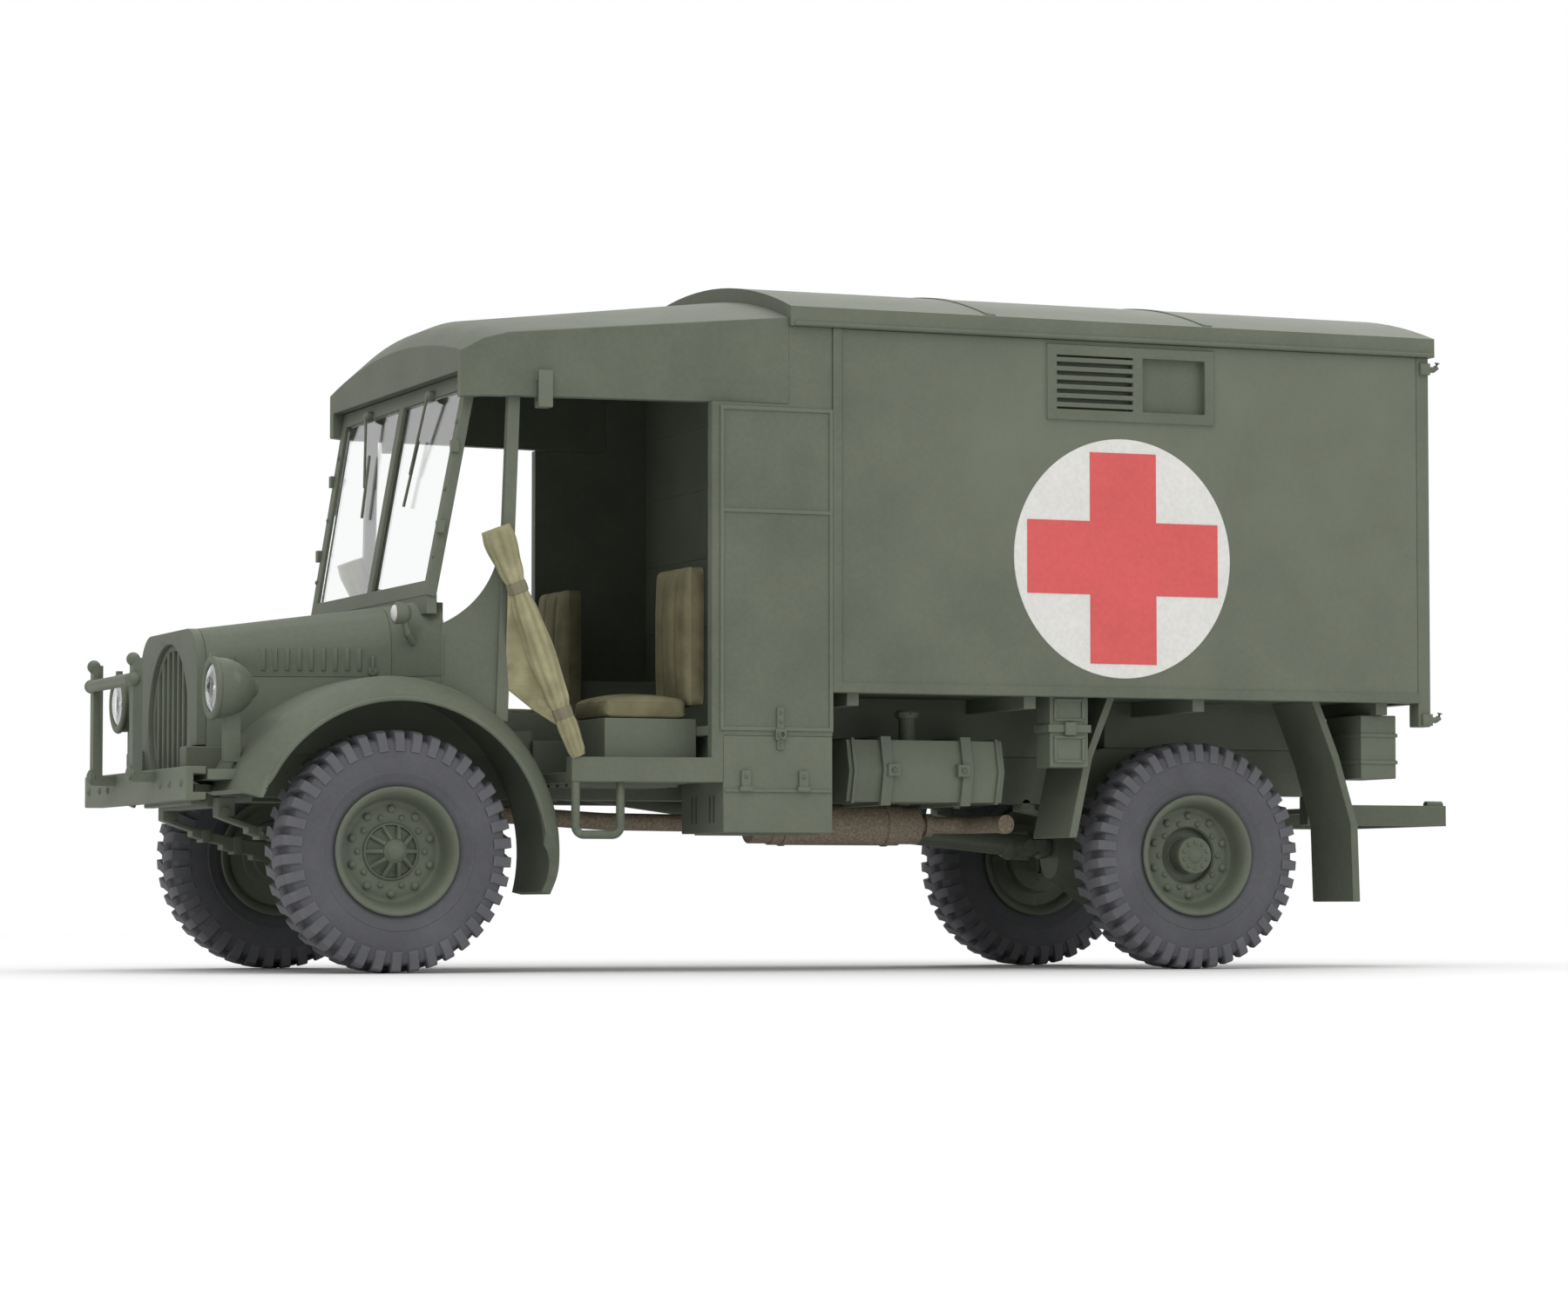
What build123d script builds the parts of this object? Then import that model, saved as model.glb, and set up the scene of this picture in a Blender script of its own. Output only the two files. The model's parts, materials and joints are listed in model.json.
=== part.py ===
"""Scale model of a military ambulance truck, in millimetres.

+Z is up, the front faces -Y and the truck's left side is +X. The origin lies on the floor
under the middle of the overall box. Heights are measured from the floor. A size whose name
ends in PLACE is measured back along the truck from the axle that it belongs to.
"""

import os
from math import cos, radians, sin

from build123d import *

os.makedirs("parts", exist_ok=True)

# Overall layout
WHEELBASE = 70.9
FRONT_OVERHANG = 18.8  # front axle to the face of the brush guard
REAR_OVERHANG = 29.1  # rear axle to the rear edge of the step
FRONT_AXLE_Y = (FRONT_OVERHANG - WHEELBASE - REAR_OVERHANG) / 2
REAR_AXLE_Y = FRONT_AXLE_Y + WHEELBASE
SIDES = {"left": 1, "right": -1}
RUNNING_FIT = 0.05  # radial clearance of a wheel on its stub axle
SEAT_GAP = 0.1  # gap between pieces that sit beside each other
SHEET = 0.8  # thickness of moulded sheet pieces

# Wheels and tyres
TRACK_FRONT = 34.0
TRACK_REAR = 32.0
TYRE_R = 9.6  # to the flat tip of a lug
LUGS = 29  # in each of the two rows
TYRE_FACETS = 2 * LUGS  # the rows take turns, a lug to each facet
BORE_FACETS = 20
LUG_HEIGHT = 0.55
TREAD_BASE_R = TYRE_R - LUG_HEIGHT
TREAD_HALF_WIDTH = 2.4
LUG_PAST_MIDDLE = 0.25
SIDEWALL_DROP = 2.3
SIDEWALL_R = TYRE_R - SIDEWALL_DROP
SIDEWALL_HALF_WIDTH = 2.65
BEAD_R = 4.7
BEAD_HALF_WIDTH = 2.1
RIM_FLANGE_R = 5.1
RIM_FLANGE_WIDTH = 0.35
RIM_BARREL_R = BEAD_R - RUNNING_FIT
RIM_WALL = 0.5
RIM_HALF_WIDTH = BEAD_HALF_WIDTH + RUNNING_FIT + RIM_FLANGE_WIDTH
DISC_OUTER_FACE = 0.5  # outward from the wheel's middle plane
DISC_THICKNESS = 0.6
DRUM_R = 3.3
DRUM_INNER_FACE = 2.3  # inward from the wheel's middle plane
# Hub corners from the disc in to the axle, as (outward, radius)
FRONT_HUB = ((0.5, 1.8), (1.7, 1.1), (1.9, 0.8), (2.25, 0.55))
REAR_HUB = ((0.5, 2.35), (-0.3, 2.2), (-0.3, 1.55), (1.1, 1.4), (1.9, 1.3), (2.1, 1.1))
STUB_R = 0.7
STUB_BORE_DEPTH = 1.2  # the bore's blind end, outward from the wheel's middle plane
STUB_END_GAP = 0.2
WHEELS = {  # name: (side, track, axle place, hub)
    "front_left": (1, TRACK_FRONT, FRONT_AXLE_Y, FRONT_HUB),
    "front_right": (-1, TRACK_FRONT, FRONT_AXLE_Y, FRONT_HUB),
    "rear_left": (1, TRACK_REAR, REAR_AXLE_Y, REAR_HUB),
    "rear_right": (-1, TRACK_REAR, REAR_AXLE_Y, REAR_HUB),
}

# Chassis frame
RAIL_X = 8.7  # middle of each rail
RAIL_WIDTH = 2.0
RAIL_INNER_X = RAIL_X - RAIL_WIDTH / 2
RAIL_OUTER_X = RAIL_X + RAIL_WIDTH / 2
RAIL_BOTTOM_Z = 14.0
RAIL_TOP_Z = 18.0
RAIL_REAR_LIFT = 0.9  # the rail steps up ahead of the rear axle
RAIL_LIFT_START = -9.0  # from the rear axle
RAIL_LIFT_END = -4.5
RAIL_FRONT_PLACE = -14.6
RAIL_FRONT_Y = FRONT_AXLE_Y + RAIL_FRONT_PLACE
RAIL_REAR_PLACE = 17.0
RAIL_REAR_Y = REAR_AXLE_Y + RAIL_REAR_PLACE
HORN_PLACE = -11.6  # the rail tapers to a horn ahead of here
HORN_Y = FRONT_AXLE_Y + HORN_PLACE
HORN_BOTTOM_Z = 15.6
CROSS_MEMBER_DEPTH = 2.6
CROSS_MEMBER_WALL = 0.6
CROSS_MEMBER_Z = (14.4, 17.6)
CROSS_MEMBER_PLACES = (-9.0, 33.8, 59.0, 83.9)
CROSS_MEMBER_YS = tuple(FRONT_AXLE_Y + place for place in CROSS_MEMBER_PLACES)

# Axles, springs and drive line
AXLE_Z = TYRE_R
BEAM_DROP = 2.3  # from the wheel centre to the beam's lower edge
BEAM_DEPTH = 1.6
BEAM_Z = (AXLE_Z - BEAM_DROP, AXLE_Z - BEAM_DROP + BEAM_DEPTH)
BEAM_WIDTH = 1.9
BEAM_BEND = (0.2, 0.64)  # the beam bends up between these shares of its run from spring to knuckle
BEAM_END_HALF_DEPTH = 1.1
KNUCKLE_R = 1.15
KNUCKLE_HALF_HEIGHT = 1.6
KNUCKLE_LENGTH = 2.0
KNUCKLE_GAP = 0.3  # between a knuckle and the drum
BEAM_END_X = TRACK_FRONT / 2 - DRUM_INNER_FACE - KNUCKLE_GAP - KNUCKLE_LENGTH
ARM_HALF_HEIGHT = 0.3
ARM_WIDTH = 0.9
TRACK_ROD_PLACE = 5.9
TRACK_ROD_Y = FRONT_AXLE_Y + TRACK_ROD_PLACE
TRACK_ROD_DROP = 1.0  # below the wheel centre
TRACK_ROD_Z = AXLE_Z - TRACK_ROD_DROP
TRACK_ROD_R = 0.42
ROD_END_R = 0.65
TUBE_R = 1.35  # rear axle tubes
SPRING_WIDTH = 1.7
LEAF = 0.4
SPRINGS = {  # name: (axle place, underside height, arc radius, half lengths of the leaves)
    "front_springs": (FRONT_AXLE_Y, BEAM_Z[1], 33.0, (11.9, 9.4, 6.8, 4.2)),
    "rear_springs": (REAR_AXLE_Y, AXLE_Z + TUBE_R, 62.0, (12.4, 9.6, 6.8, 4.0)),
}
SHACKLE_WIDTH = 1.4
TRUMPET_R = 3.0
TRUMPET_X = (2.4, 6.2)
BACKPLATE_R = 2.9
BACKPLATE_THICKNESS = 0.6
DIFF_R = 4.5
DIFF_NOSE_R = 1.9
DIFF_NOSE_LENGTH = 5.2
DIFF_RING_Y = (-1.3, 0.9)
DIFF_DOME_R = 2.4
DIFF_DOME_Y = 3.3
SHAFT_R = {"front": 0.75, "rear": 1.05}
GEARBOX_REAR_PLACE = 17.0
GEARBOX_REAR_Y = FRONT_AXLE_Y + GEARBOX_REAR_PLACE
SHAFT_FRONT_Z = 15.3
BEARING_Z = 13.4
BEARING_R = 1.35
JOINT_R = 1.25
JOINT_LENGTH = 2.4
SPIDER_R = 0.55
YOKE_R = 1.05
YOKE_LENGTH = 1.5
REAR_JOINT_RISE = 1.0
REAR_JOINT_Z = AXLE_Z + REAR_JOINT_RISE

# Exhaust: places along the pipe's middle line from the front axle, as (x, y, z)
PIPE_R = 0.72
PIPE_POINTS = ((5.3, 3.6, 14.6), (5.4, 12.5, 12.9), (7.2, 21.6, 12.3), (6.7, 34.0, 12.2))
PIPE_BEND = 4.0
SILENCER_R = 1.75
SILENCER_END_R = 1.63
SILENCER_X = 6.7
SILENCER_Z = 12.2
SILENCER_PLACES = (34.6, 50.0)
SILENCER_Y = tuple(FRONT_AXLE_Y + place for place in SILENCER_PLACES)
SILENCER_BAND = 1.8
TAIL_POINTS = ((6.7, 50.0, 12.2), (6.9, 54.4, 12.2), (13.4, 55.4, 12.2))
TAIL_BEND = 1.8

# Fuel tanks
TANK_X = (10.4, 17.6)
TANK_PLACES = (39.0, 53.0)
TANK_Y = tuple(FRONT_AXLE_Y + place for place in TANK_PLACES)
TANK_Z = (13.9, 19.0)
TANK_BULGE = 0.7  # the outer wall leans out towards its middle
STRAP = 0.3
STRAP_WIDTH = 0.9
STRAP_INSET = 3.4
FILLER_R = 0.7
FILLER_TOP_Z = 21.2

# Front end
BUMPER_HALF_LENGTH = 16.8
BUMPER_PLACES = (-16.4, -14.8)
BUMPER_Y = tuple(FRONT_AXLE_Y + place for place in BUMPER_PLACES)
BUMPER_Z = (13.6, 16.2)
BUMPER_WALL = 0.6
GUARD_POST_X = 6.6
GUARD_POST = (1.1, 0.8)  # along x and along y
GUARD_TOP_Z = 25.1
GUARD_FOOT_Z = (15.2, 16.0)
GUARD_TUBE_R = 0.5
GUARD_TUBE_Z = 23.4
WING_OUTER_X = 20.6
WING_INNER_X = RAIL_OUTER_X + SEAT_GAP
WING_CROWN_R = 13.9
WING_EDGE_DROP = 1.9  # from the crown to the outer edge
WING_EDGE_R = WING_CROWN_R - WING_EDGE_DROP
WING_CROWN_X = 17.6
WING_REAR_ANGLE = -14.0  # below the level of the wheel centre, behind it
WING_FRONT_ANGLE = 160.0
WING_LIP_PLACES = (-14.7, -12.2)
WING_LIP_Y = tuple(FRONT_AXLE_Y + place for place in WING_LIP_PLACES)
WING_LIP_Z = 15.2
WING_LIP_X = 16.8
WING_TAIL = ((20.8, 11.6), (16.6, 5.6))  # line across the tail, as (x, height), that trims its outer corner
BONNET_FRONT_HALF_WIDTH = 9.2
BONNET_REAR_HALF_WIDTH = 13.6
BONNET_LOW_Z = AXLE_Z + WING_CROWN_R + SEAT_GAP
BONNET_RISES = (4.0, 5.8)  # above its lower edge, at the nose and at the cowl
BONNET_TOP_ZS = tuple(BONNET_LOW_Z + rise for rise in BONNET_RISES)
BONNET_EDGE_R = 3.4
BONNET_REAR_PLACE = 1.2
BONNET_REAR_Y = FRONT_AXLE_Y + BONNET_REAR_PLACE
NOSE_PLACES = (-13.6, -12.8)
NOSE_Y = tuple(FRONT_AXLE_Y + place for place in NOSE_PLACES)
NOSE_HALF_WIDTH = 9.2
NOSE_Z = (13.4, BONNET_TOP_ZS[0])
GRILLE_INSET = 0.7  # from half the height of the nose
GRILLE_R = (NOSE_Z[1] - NOSE_Z[0]) / 2 - GRILLE_INSET
GRILLE_DROP = 0.3  # below the middle of the nose
GRILLE_Z = sum(NOSE_Z) / 2 - GRILLE_DROP
GRILLE_BARS = 7
GRILLE_BAR = 0.5
LAMP_X = 15.2
LAMP_FRONT_PLACE = -WING_CROWN_R - SEAT_GAP
LAMP_FRONT_Y = FRONT_AXLE_Y + LAMP_FRONT_PLACE
LAMP_Z = 22.4
LAMP_R = 2.4
LAMP_DEPTH = 3.4
LENS_DEPTH = 0.5
LAMP_BACK_R = 0.7
LAMP_POST = 1.2  # square section of the post between lamp and wing
LAMP_POST_BACK = 1.0  # from the lens face to the post
LAMP_POST_Y = (LAMP_FRONT_Y + LAMP_POST_BACK, LAMP_FRONT_Y + LAMP_POST_BACK + LAMP_POST)
LAMP_SEAT_Z = 19.0
LAMP_POST_FOOT_Z = 16.6

# Engine, gearbox, radiator
ENGINE_HALF_WIDTH = 4.6
ENGINE_PLACES = (-7.4, 3.4)
ENGINE_Y = tuple(FRONT_AXLE_Y + place for place in ENGINE_PLACES)
ENGINE_BOTTOM_Z = 15.0
ENGINE_HEADROOM = 1.8  # below the bonnet's sheet at the nose
ENGINE_Z = (ENGINE_BOTTOM_Z, BONNET_TOP_ZS[0] - SHEET - ENGINE_HEADROOM)
SUMP_HALF_WIDTH = 3.4
SUMP_Z = 12.0
SUMP_STEP_Z = 13.8
SUMP_REAR_PLACE = 8.6
SUMP_REAR_Y = FRONT_AXLE_Y + SUMP_REAR_PLACE
BELL_R = 3.5
BELL_Z = 16.4
BELL_PLACE = 10.4
BELL_Y = FRONT_AXLE_Y + BELL_PLACE
GEARBOX_HALF_WIDTH = 2.4
GEARBOX_Z = (13.0, 18.2)
RADIATOR_PLACES = (-12.2, -10.6)
RADIATOR_Y = tuple(FRONT_AXLE_Y + place for place in RADIATOR_PLACES)
RADIATOR_HALF_WIDTH = 7.4
RADIATOR_BOTTOM_Z = 13.2
RADIATOR_HEADROOM = 0.8
RADIATOR_Z = (RADIATOR_BOTTOM_Z, BONNET_TOP_ZS[0] - SHEET - RADIATOR_HEADROOM)

# Main sizes of the ambulance body
BODY_HALF_WIDTH = 22.4
WALL = 1.0
BODY_PLACES = (35.8, 91.2)
BODY_Y = tuple(FRONT_AXLE_Y + place for place in BODY_PLACES)
SKIRT_Z = 22.6
WALL_TOP_Z = 52.3
FLOOR_Z = (22.8, 23.8)
BEARER_DROP = 1.2
BEARER_WIDTH = 1.1
BEARER_PLACES = (38.0, 53.9, 69.5, 87.0)
BEARER_YS = tuple(FRONT_AXLE_Y + place for place in BEARER_PLACES)
BEAD_PROUD = 0.2
BEAD_WIDTH = 0.8

# Cab
CAB_FRONT_PLACE = 4.0
CAB_FRONT_Y = FRONT_AXLE_Y + CAB_FRONT_PLACE
CAB_FRONT_HALF_WIDTH = 18.2
CAB_POST_PLACE = 25.3
CAB_POST_Y = FRONT_AXLE_Y + CAB_POST_PLACE
TUNNEL_HALF_WIDTH = 6.6
TUNNEL_TOP_Z = 20.4
FLOOR_RIBS = 4
FLOOR_RIB = (0.6, 0.3)  # width and drop
FLOOR_RIB_INSET = 1.2
SCUTTLE_REAR_PLACE = 4.6
SCUTTLE_REAR_Y = FRONT_AXLE_Y + SCUTTLE_REAR_PLACE
SCUTTLE_HALF_WIDTH = 16.9
SCUTTLE_RISE = 0.6  # above the bonnet's rear edge
SCUTTLE_TOP_Z = BONNET_TOP_ZS[1] + SCUTTLE_RISE
SILL_Z = (15.2, 17.2)
WELL_GAP = 0.3  # from the wing's crown to the front of the foot well
WELL_FRONT_PLACE = WING_CROWN_R + WELL_GAP
WELL_FRONT_Y = FRONT_AXLE_Y + WELL_FRONT_PLACE
SILL_WIDTH = 1.4
SCREEN_BASE_PLACE = 3.2
SCREEN_BASE_Y = FRONT_AXLE_Y + SCREEN_BASE_PLACE
SCREEN_TOP_PLACE = 6.4
SCREEN_TOP_Y = FRONT_AXLE_Y + SCREEN_TOP_PLACE
SCREEN_BAR = 1.3
SCREEN_THICKNESS = 0.8
GLASS = 0.3
CANTRAIL_DROP = 6.4  # from the top of the body's walls to the top of the door opening
CANTRAIL_Z = WALL_TOP_Z - CANTRAIL_DROP
SCREEN_SEAT = 0.05
SCREEN_RISE = 2.1  # above the top of the door opening
SCREEN_Z = (SCUTTLE_TOP_Z + SCREEN_SEAT, CANTRAIL_Z + SCREEN_RISE)
SCREEN_INSETS = (1.6, 0.8)  # of its lower and upper corners from the cab's front half width
SCREEN_HALF_WIDTHS = [CAB_FRONT_HALF_WIDTH - inset for inset in SCREEN_INSETS]
CAB_ROOF_SECTIONS = (  # (place, inset from the body's side, edge and crown above the cantrail)
    (5.4, 4.0, 3.7, 5.5),
    (6.9, 2.9, 4.6, 7.0),
    (8.8, 2.3, 5.1, 7.8),
    (32.0, 0.0, 7.1, 10.5),
)
ROOF_JOINT_Y = FRONT_AXLE_Y + CAB_ROOF_SECTIONS[-1][0]
ROOF_HOOK_INSETS = (2.6, 1.5)  # of its faces from the body's side
ROOF_HOOK_X = tuple(BODY_HALF_WIDTH - inset for inset in ROOF_HOOK_INSETS)
ROOF_HOOK_PLACES = (11.1, 12.3)
ROOF_HOOK_Y = tuple(FRONT_AXLE_Y + place for place in ROOF_HOOK_PLACES)
ROOF_HOOK_DROP = 0.9
ROOF_HOOK_Z = (CANTRAIL_Z - ROOF_HOOK_DROP, SCREEN_Z[1])
SEAT_INSETS = (0.2, 2.0)  # from the floor's riser and from the sill
SEAT_X = (WING_INNER_X + SHEET + SEAT_INSETS[0], BODY_HALF_WIDTH - SILL_WIDTH - SEAT_INSETS[1])
SEAT_PLACES = (17.4, 26.2)
SEAT_Y = tuple(FRONT_AXLE_Y + place for place in SEAT_PLACES)
SEAT_BOX_Z = 20.4
CUSHION = 1.8
BACKREST_TOP_Z = 33.0
BACKREST = 1.6
WHEEL_RING_R = 4.0
WHEEL_RING_TUBE_R = 0.4
STEERING_X = -12.0
STEERING_PLACE = 10.6
STEERING_Y = FRONT_AXLE_Y + STEERING_PLACE
STEERING_FOOT_PLACE = 6.2
STEERING_FOOT_RISE = 0.6  # above the bonnet's lower edge
STEERING_FOOT_Z = BONNET_LOW_Z + STEERING_FOOT_RISE
STEERING_RISE = 5.4
STEERING_Z = STEERING_FOOT_Z + STEERING_RISE
COLUMN_R = 0.5
ROLL_TOP_OUT = 0.4  # outward of the cab's front half width
ROLL_TOP_PLACE = 7.0
ROLL_TOP_Y = FRONT_AXLE_Y + ROLL_TOP_PLACE
ROLL_TOP_Z = 34.6
ROLL_FOOT_IN = 0.2  # inward of the cab's half width above the sill's front end
ROLL_FOOT_AHEAD = 0.6  # ahead of the front of the foot well
ROLL_FOOT_PLACE = WELL_FRONT_PLACE - ROLL_FOOT_AHEAD
ROLL_FOOT_Y = FRONT_AXLE_Y + ROLL_FOOT_PLACE
ROLL_FOOT_Z = 18.2
ROLL_SHOE = (0.7, 1.2)  # half width and depth of the foot that stands on the sill
ROLL_END_R = 0.95
ROLL_MIDDLE_R = 1.5

# Rest of the ambulance body
GUTTER = 0.4  # the roof stands proud of the walls by this much
ROOF_EDGE_RISE = 1.6  # above the top of the walls
ROOF_EDGE_Z = WALL_TOP_Z + ROOF_EDGE_RISE
ROOF_CROWN_RISE = 5.3
ROOF_CROWN_Z = WALL_TOP_Z + ROOF_CROWN_RISE
VENT_PLACES = (55.0, 70.5)
VENT_Y = tuple(FRONT_AXLE_Y + place for place in VENT_PLACES)
VENT_DROPS = (6.7, 0.4)  # of its lower and upper edges from the top of the walls
VENT_Z = tuple(WALL_TOP_Z - drop for drop in VENT_DROPS)
VENT_FRAME = 0.9
VENT_PROUD = 0.25
VENT_RECESS = 0.5
LOUVRES = 6
LOUVRE = 0.4
LOUVRE_PLACE = 62.9  # the louvres end and the blank pane begins here
LOUVRE_Y = FRONT_AXLE_Y + LOUVRE_PLACE
LOCKER_Y = (CAB_POST_Y, BODY_Y[0])
LOCKER_Z = (11.2, 19.0)
LOCKER_INNER_X = 12.9
RIGHT_LOCKER_Z = (18.2, 25.0)
REAR_FRAME_THICKNESS = 1.2
DOORWAY_INSET = 4.8
DOORWAY_HALF_WIDTH = BODY_HALF_WIDTH - DOORWAY_INSET
DOORWAY_SILL = 2.2
DOORWAY_HEADER = 1.7
DOORWAY_Z = (SKIRT_Z + DOORWAY_SILL, WALL_TOP_Z - DOORWAY_HEADER)
DOOR_THICKNESS = 1.0
DOOR_WINDOW_INSETS = (12.4, 5.2)  # of its sides from the doorway's side
DOOR_WINDOW_X = tuple(DOORWAY_HALF_WIDTH - inset for inset in DOOR_WINDOW_INSETS)
DOOR_WINDOW_DROPS = (12.0, 5.0)  # of its lower and upper edges from the doorway's top
DOOR_WINDOW_Z = tuple(DOORWAY_Z[1] - drop for drop in DOOR_WINDOW_DROPS)
HINGE_DROPS = (0.7, 1.4)  # below the top of the walls and below the skirt
HINGE_ZS = (WALL_TOP_Z - HINGE_DROPS[0], SKIRT_Z - HINGE_DROPS[1])
HINGE_R = 0.5
CORNER_POST = 1.6
CORNER_DROP = 2.0  # below the skirt
CORNER_FOOT_Z = SKIRT_Z - CORNER_DROP

# Below the body
FLAP = 0.7
FLAP_INNER_X = 12.6
FLAP_INSET = 2.6  # from the body's side
FLAP_X = (FLAP_INNER_X, BODY_HALF_WIDTH - FLAP_INSET)
FLAP_FRONT = ((-8.4, 22.8), (-10.6, 17.4), (-12.0, 11.0))  # (from the rear axle, height)
FLAP_REAR = ((10.2, 22.8), (12.3, 17.6), (13.9, 12.2), (14.1, 5.7))
CAN_INSETS = (3.8, 1.2)  # of its sides from the body's side
CAN_X = tuple(BODY_HALF_WIDTH - inset for inset in CAN_INSETS)
CAN_PLACES = (55.8, 59.3)
CAN_Y = tuple(FRONT_AXLE_Y + place for place in CAN_PLACES)
CAN_Z = (16.8, FLOOR_Z[0])
CHEST_INSETS = (8.0, 1.8)  # of its sides from the body's side
CHEST_X = tuple(BODY_HALF_WIDTH - inset for inset in CHEST_INSETS)
CHEST_PLACES = (14.5, 17.9)
CHEST_Y = tuple(REAR_AXLE_Y + place for place in CHEST_PLACES)
CHEST_Z = (16.2, FLOOR_Z[0] - BEARER_DROP)
STEP_HALF_WIDTH = 9.7
STEP_BAR = 1.5
STEP_Z = (12.4, 14.2)
STEP_HANGER_PLACES = (15.2, 17.0)
STEP_HANGER_Y = tuple(REAR_AXLE_Y + place for place in STEP_HANGER_PLACES)
STEP_TREAD_PLACE = 22.2
STEP_TREAD_Y = REAR_AXLE_Y + STEP_TREAD_PLACE
STEP_TREAD = 0.5
STEP_TREAD_DEPTH = 5.4
STIRRUP_R = 0.35
STIRRUP_OFFSETS = (0.4, 4.2)  # behind the front of the foot well
STIRRUP_PLACES = tuple(WELL_FRONT_PLACE + offset for offset in STIRRUP_OFFSETS)
STIRRUP_Y = tuple(FRONT_AXLE_Y + place for place in STIRRUP_PLACES)
STIRRUP_Z = (11.0, SILL_Z[0])
TAIL_LAMP_R = 0.7
TAIL_LAMP_INSET = 2.2  # from the body's side
TAIL_LAMP_X = BODY_HALF_WIDTH - TAIL_LAMP_INSET
TAIL_LAMP_Z = 24.2


def side_plane(x):
    """The plane at x whose sketch axes run along the truck and up."""
    return Plane.YZ.offset(x)


def section_plane(y):
    """The plane at y whose sketch axes run across the truck and up."""
    return Plane.XZ.offset(-y)


def block(x, y, z, mode=Mode.ADD):
    """A box from its low and high bounds along each axis."""
    with Locations([(sum(x) / 2, sum(y) / 2, sum(z) / 2)]):
        Box(abs(x[1] - x[0]), abs(y[1] - y[0]), abs(z[1] - z[0]), mode=mode)


def on_both_sides(x):
    """The x bounds of a piece on the left and of its twin on the right."""
    return [x, (-x[1], -x[0])]


def rod(start, end, radius):
    """A round bar between two points."""
    direction = Vector(*end) - Vector(*start)
    with Locations(Plane(origin=start, z_dir=direction).location):
        Cylinder(radius, direction.length, align=(Align.CENTER, Align.CENTER, Align.MIN))


def save(piece, name):
    """Labels a finished piece and writes it to its own file."""
    piece.part.label = name
    export_step(piece.part, f"parts/{name}.step")


def wheel_centre(side, track, axle_y):
    return (side * track / 2, axle_y, AXLE_Z)


def wheel_plane(side, centre):
    """Sketch axes run outward along the axle and up from the wheel's centre."""
    return Plane(origin=centre, x_dir=(side, 0, 0), z_dir=(0, -side, 0))


def facet_corner(radius, turn):
    """A corner of the tyre's many-sided outline, whose flats lie at the radius asked for."""
    reach = radius / cos(radians(180 / TYRE_FACETS))
    angle = radians(360 / TYRE_FACETS * turn)
    return (reach * cos(angle), reach * sin(angle))


def lug_outline(facet):
    """The end view of the lug on one facet, between the tread and the lug's tip."""
    ends = ((TREAD_BASE_R, -0.5), (TYRE_R, -0.5), (TYRE_R, 0.5), (TREAD_BASE_R, 0.5))
    return [facet_corner(radius, facet + turn) for radius, turn in ends]


def tyre_skin(across):
    """Flat faces of the tyre's sidewalls and tread, closed by a flat disc at each bead."""
    bead_top = RIM_FLANGE_R + RUNNING_FIT
    half = [(BEAD_HALF_WIDTH, bead_top), (SIDEWALL_HALF_WIDTH, SIDEWALL_R), (TREAD_HALF_WIDTH, TREAD_BASE_R)]
    rings = []
    for out, radius in half + [(-out, radius) for out, radius in half[::-1]]:
        corners = [facet_corner(radius, facet - 0.5) for facet in range(TYRE_FACETS)]
        rings.append([across.from_local_coords(Vector(x, y, out)) for x, y in corners])
    faces = [Face(Wire.make_polygon(rings[0])), Face(Wire.make_polygon(rings[-1]))]
    for ring, following in zip(rings, rings[1:]):
        for facet in range(TYRE_FACETS):
            quad = [ring[facet - 1], ring[facet], following[facet], following[facet - 1]]
            faces.append(Face(Wire.make_polygon(quad)))
    return faces


def make_tyre(name, side, centre):
    """A flat-faced carcass with a row of bar lugs to each side, half a pitch apart."""
    across = Plane(origin=centre, x_dir=(0, 0, 1), z_dir=(side, 0, 0))
    with BuildPart() as tyre:
        add(Solid(Shell(tyre_skin(across))))
        with BuildSketch(across.offset(-SIDEWALL_HALF_WIDTH)):
            RegularPolygon(BEAD_R, BORE_FACETS, major_radius=False)
        extrude(amount=2 * SIDEWALL_HALF_WIDTH, mode=Mode.SUBTRACT)
        for first_facet, start in ((0, -LUG_PAST_MIDDLE), (1, -TREAD_HALF_WIDTH)):
            with BuildSketch(across.offset(start)):
                for facet in range(first_facet, TYRE_FACETS, 2):
                    Polygon(*lug_outline(facet), align=None)
            extrude(amount=TREAD_HALF_WIDTH + LUG_PAST_MIDDLE)
    save(tyre, f"tyre_{name}")


def make_rim(name, side, centre, hub):
    bore_r = STUB_R + RUNNING_FIT
    barrel_inner = RIM_BARREL_R - RIM_WALL
    flange = RIM_HALF_WIDTH - RIM_FLANGE_WIDTH
    disc_inner = DISC_OUTER_FACE - DISC_THICKNESS
    points = [
        (-DRUM_INNER_FACE, bore_r),
        (-DRUM_INNER_FACE, DRUM_R),
        (disc_inner, DRUM_R),
        (disc_inner, barrel_inner),
        (-RIM_HALF_WIDTH, barrel_inner),
        (-RIM_HALF_WIDTH, RIM_FLANGE_R),
        (-flange, RIM_FLANGE_R),
        (-flange, RIM_BARREL_R),
        (flange, RIM_BARREL_R),
        (flange, RIM_FLANGE_R),
        (RIM_HALF_WIDTH, RIM_FLANGE_R),
        (RIM_HALF_WIDTH, barrel_inner),
        (DISC_OUTER_FACE, barrel_inner),
        *hub,
        (hub[-1][0], 0),
        (STUB_BORE_DEPTH, 0),
        (STUB_BORE_DEPTH, bore_r),
    ]
    with BuildPart() as rim:
        with BuildSketch(wheel_plane(side, centre)):
            Polygon(*points, align=None)
        revolve(axis=Axis(centre, (1, 0, 0)))
    save(rim, f"wheel_{name}")


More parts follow.
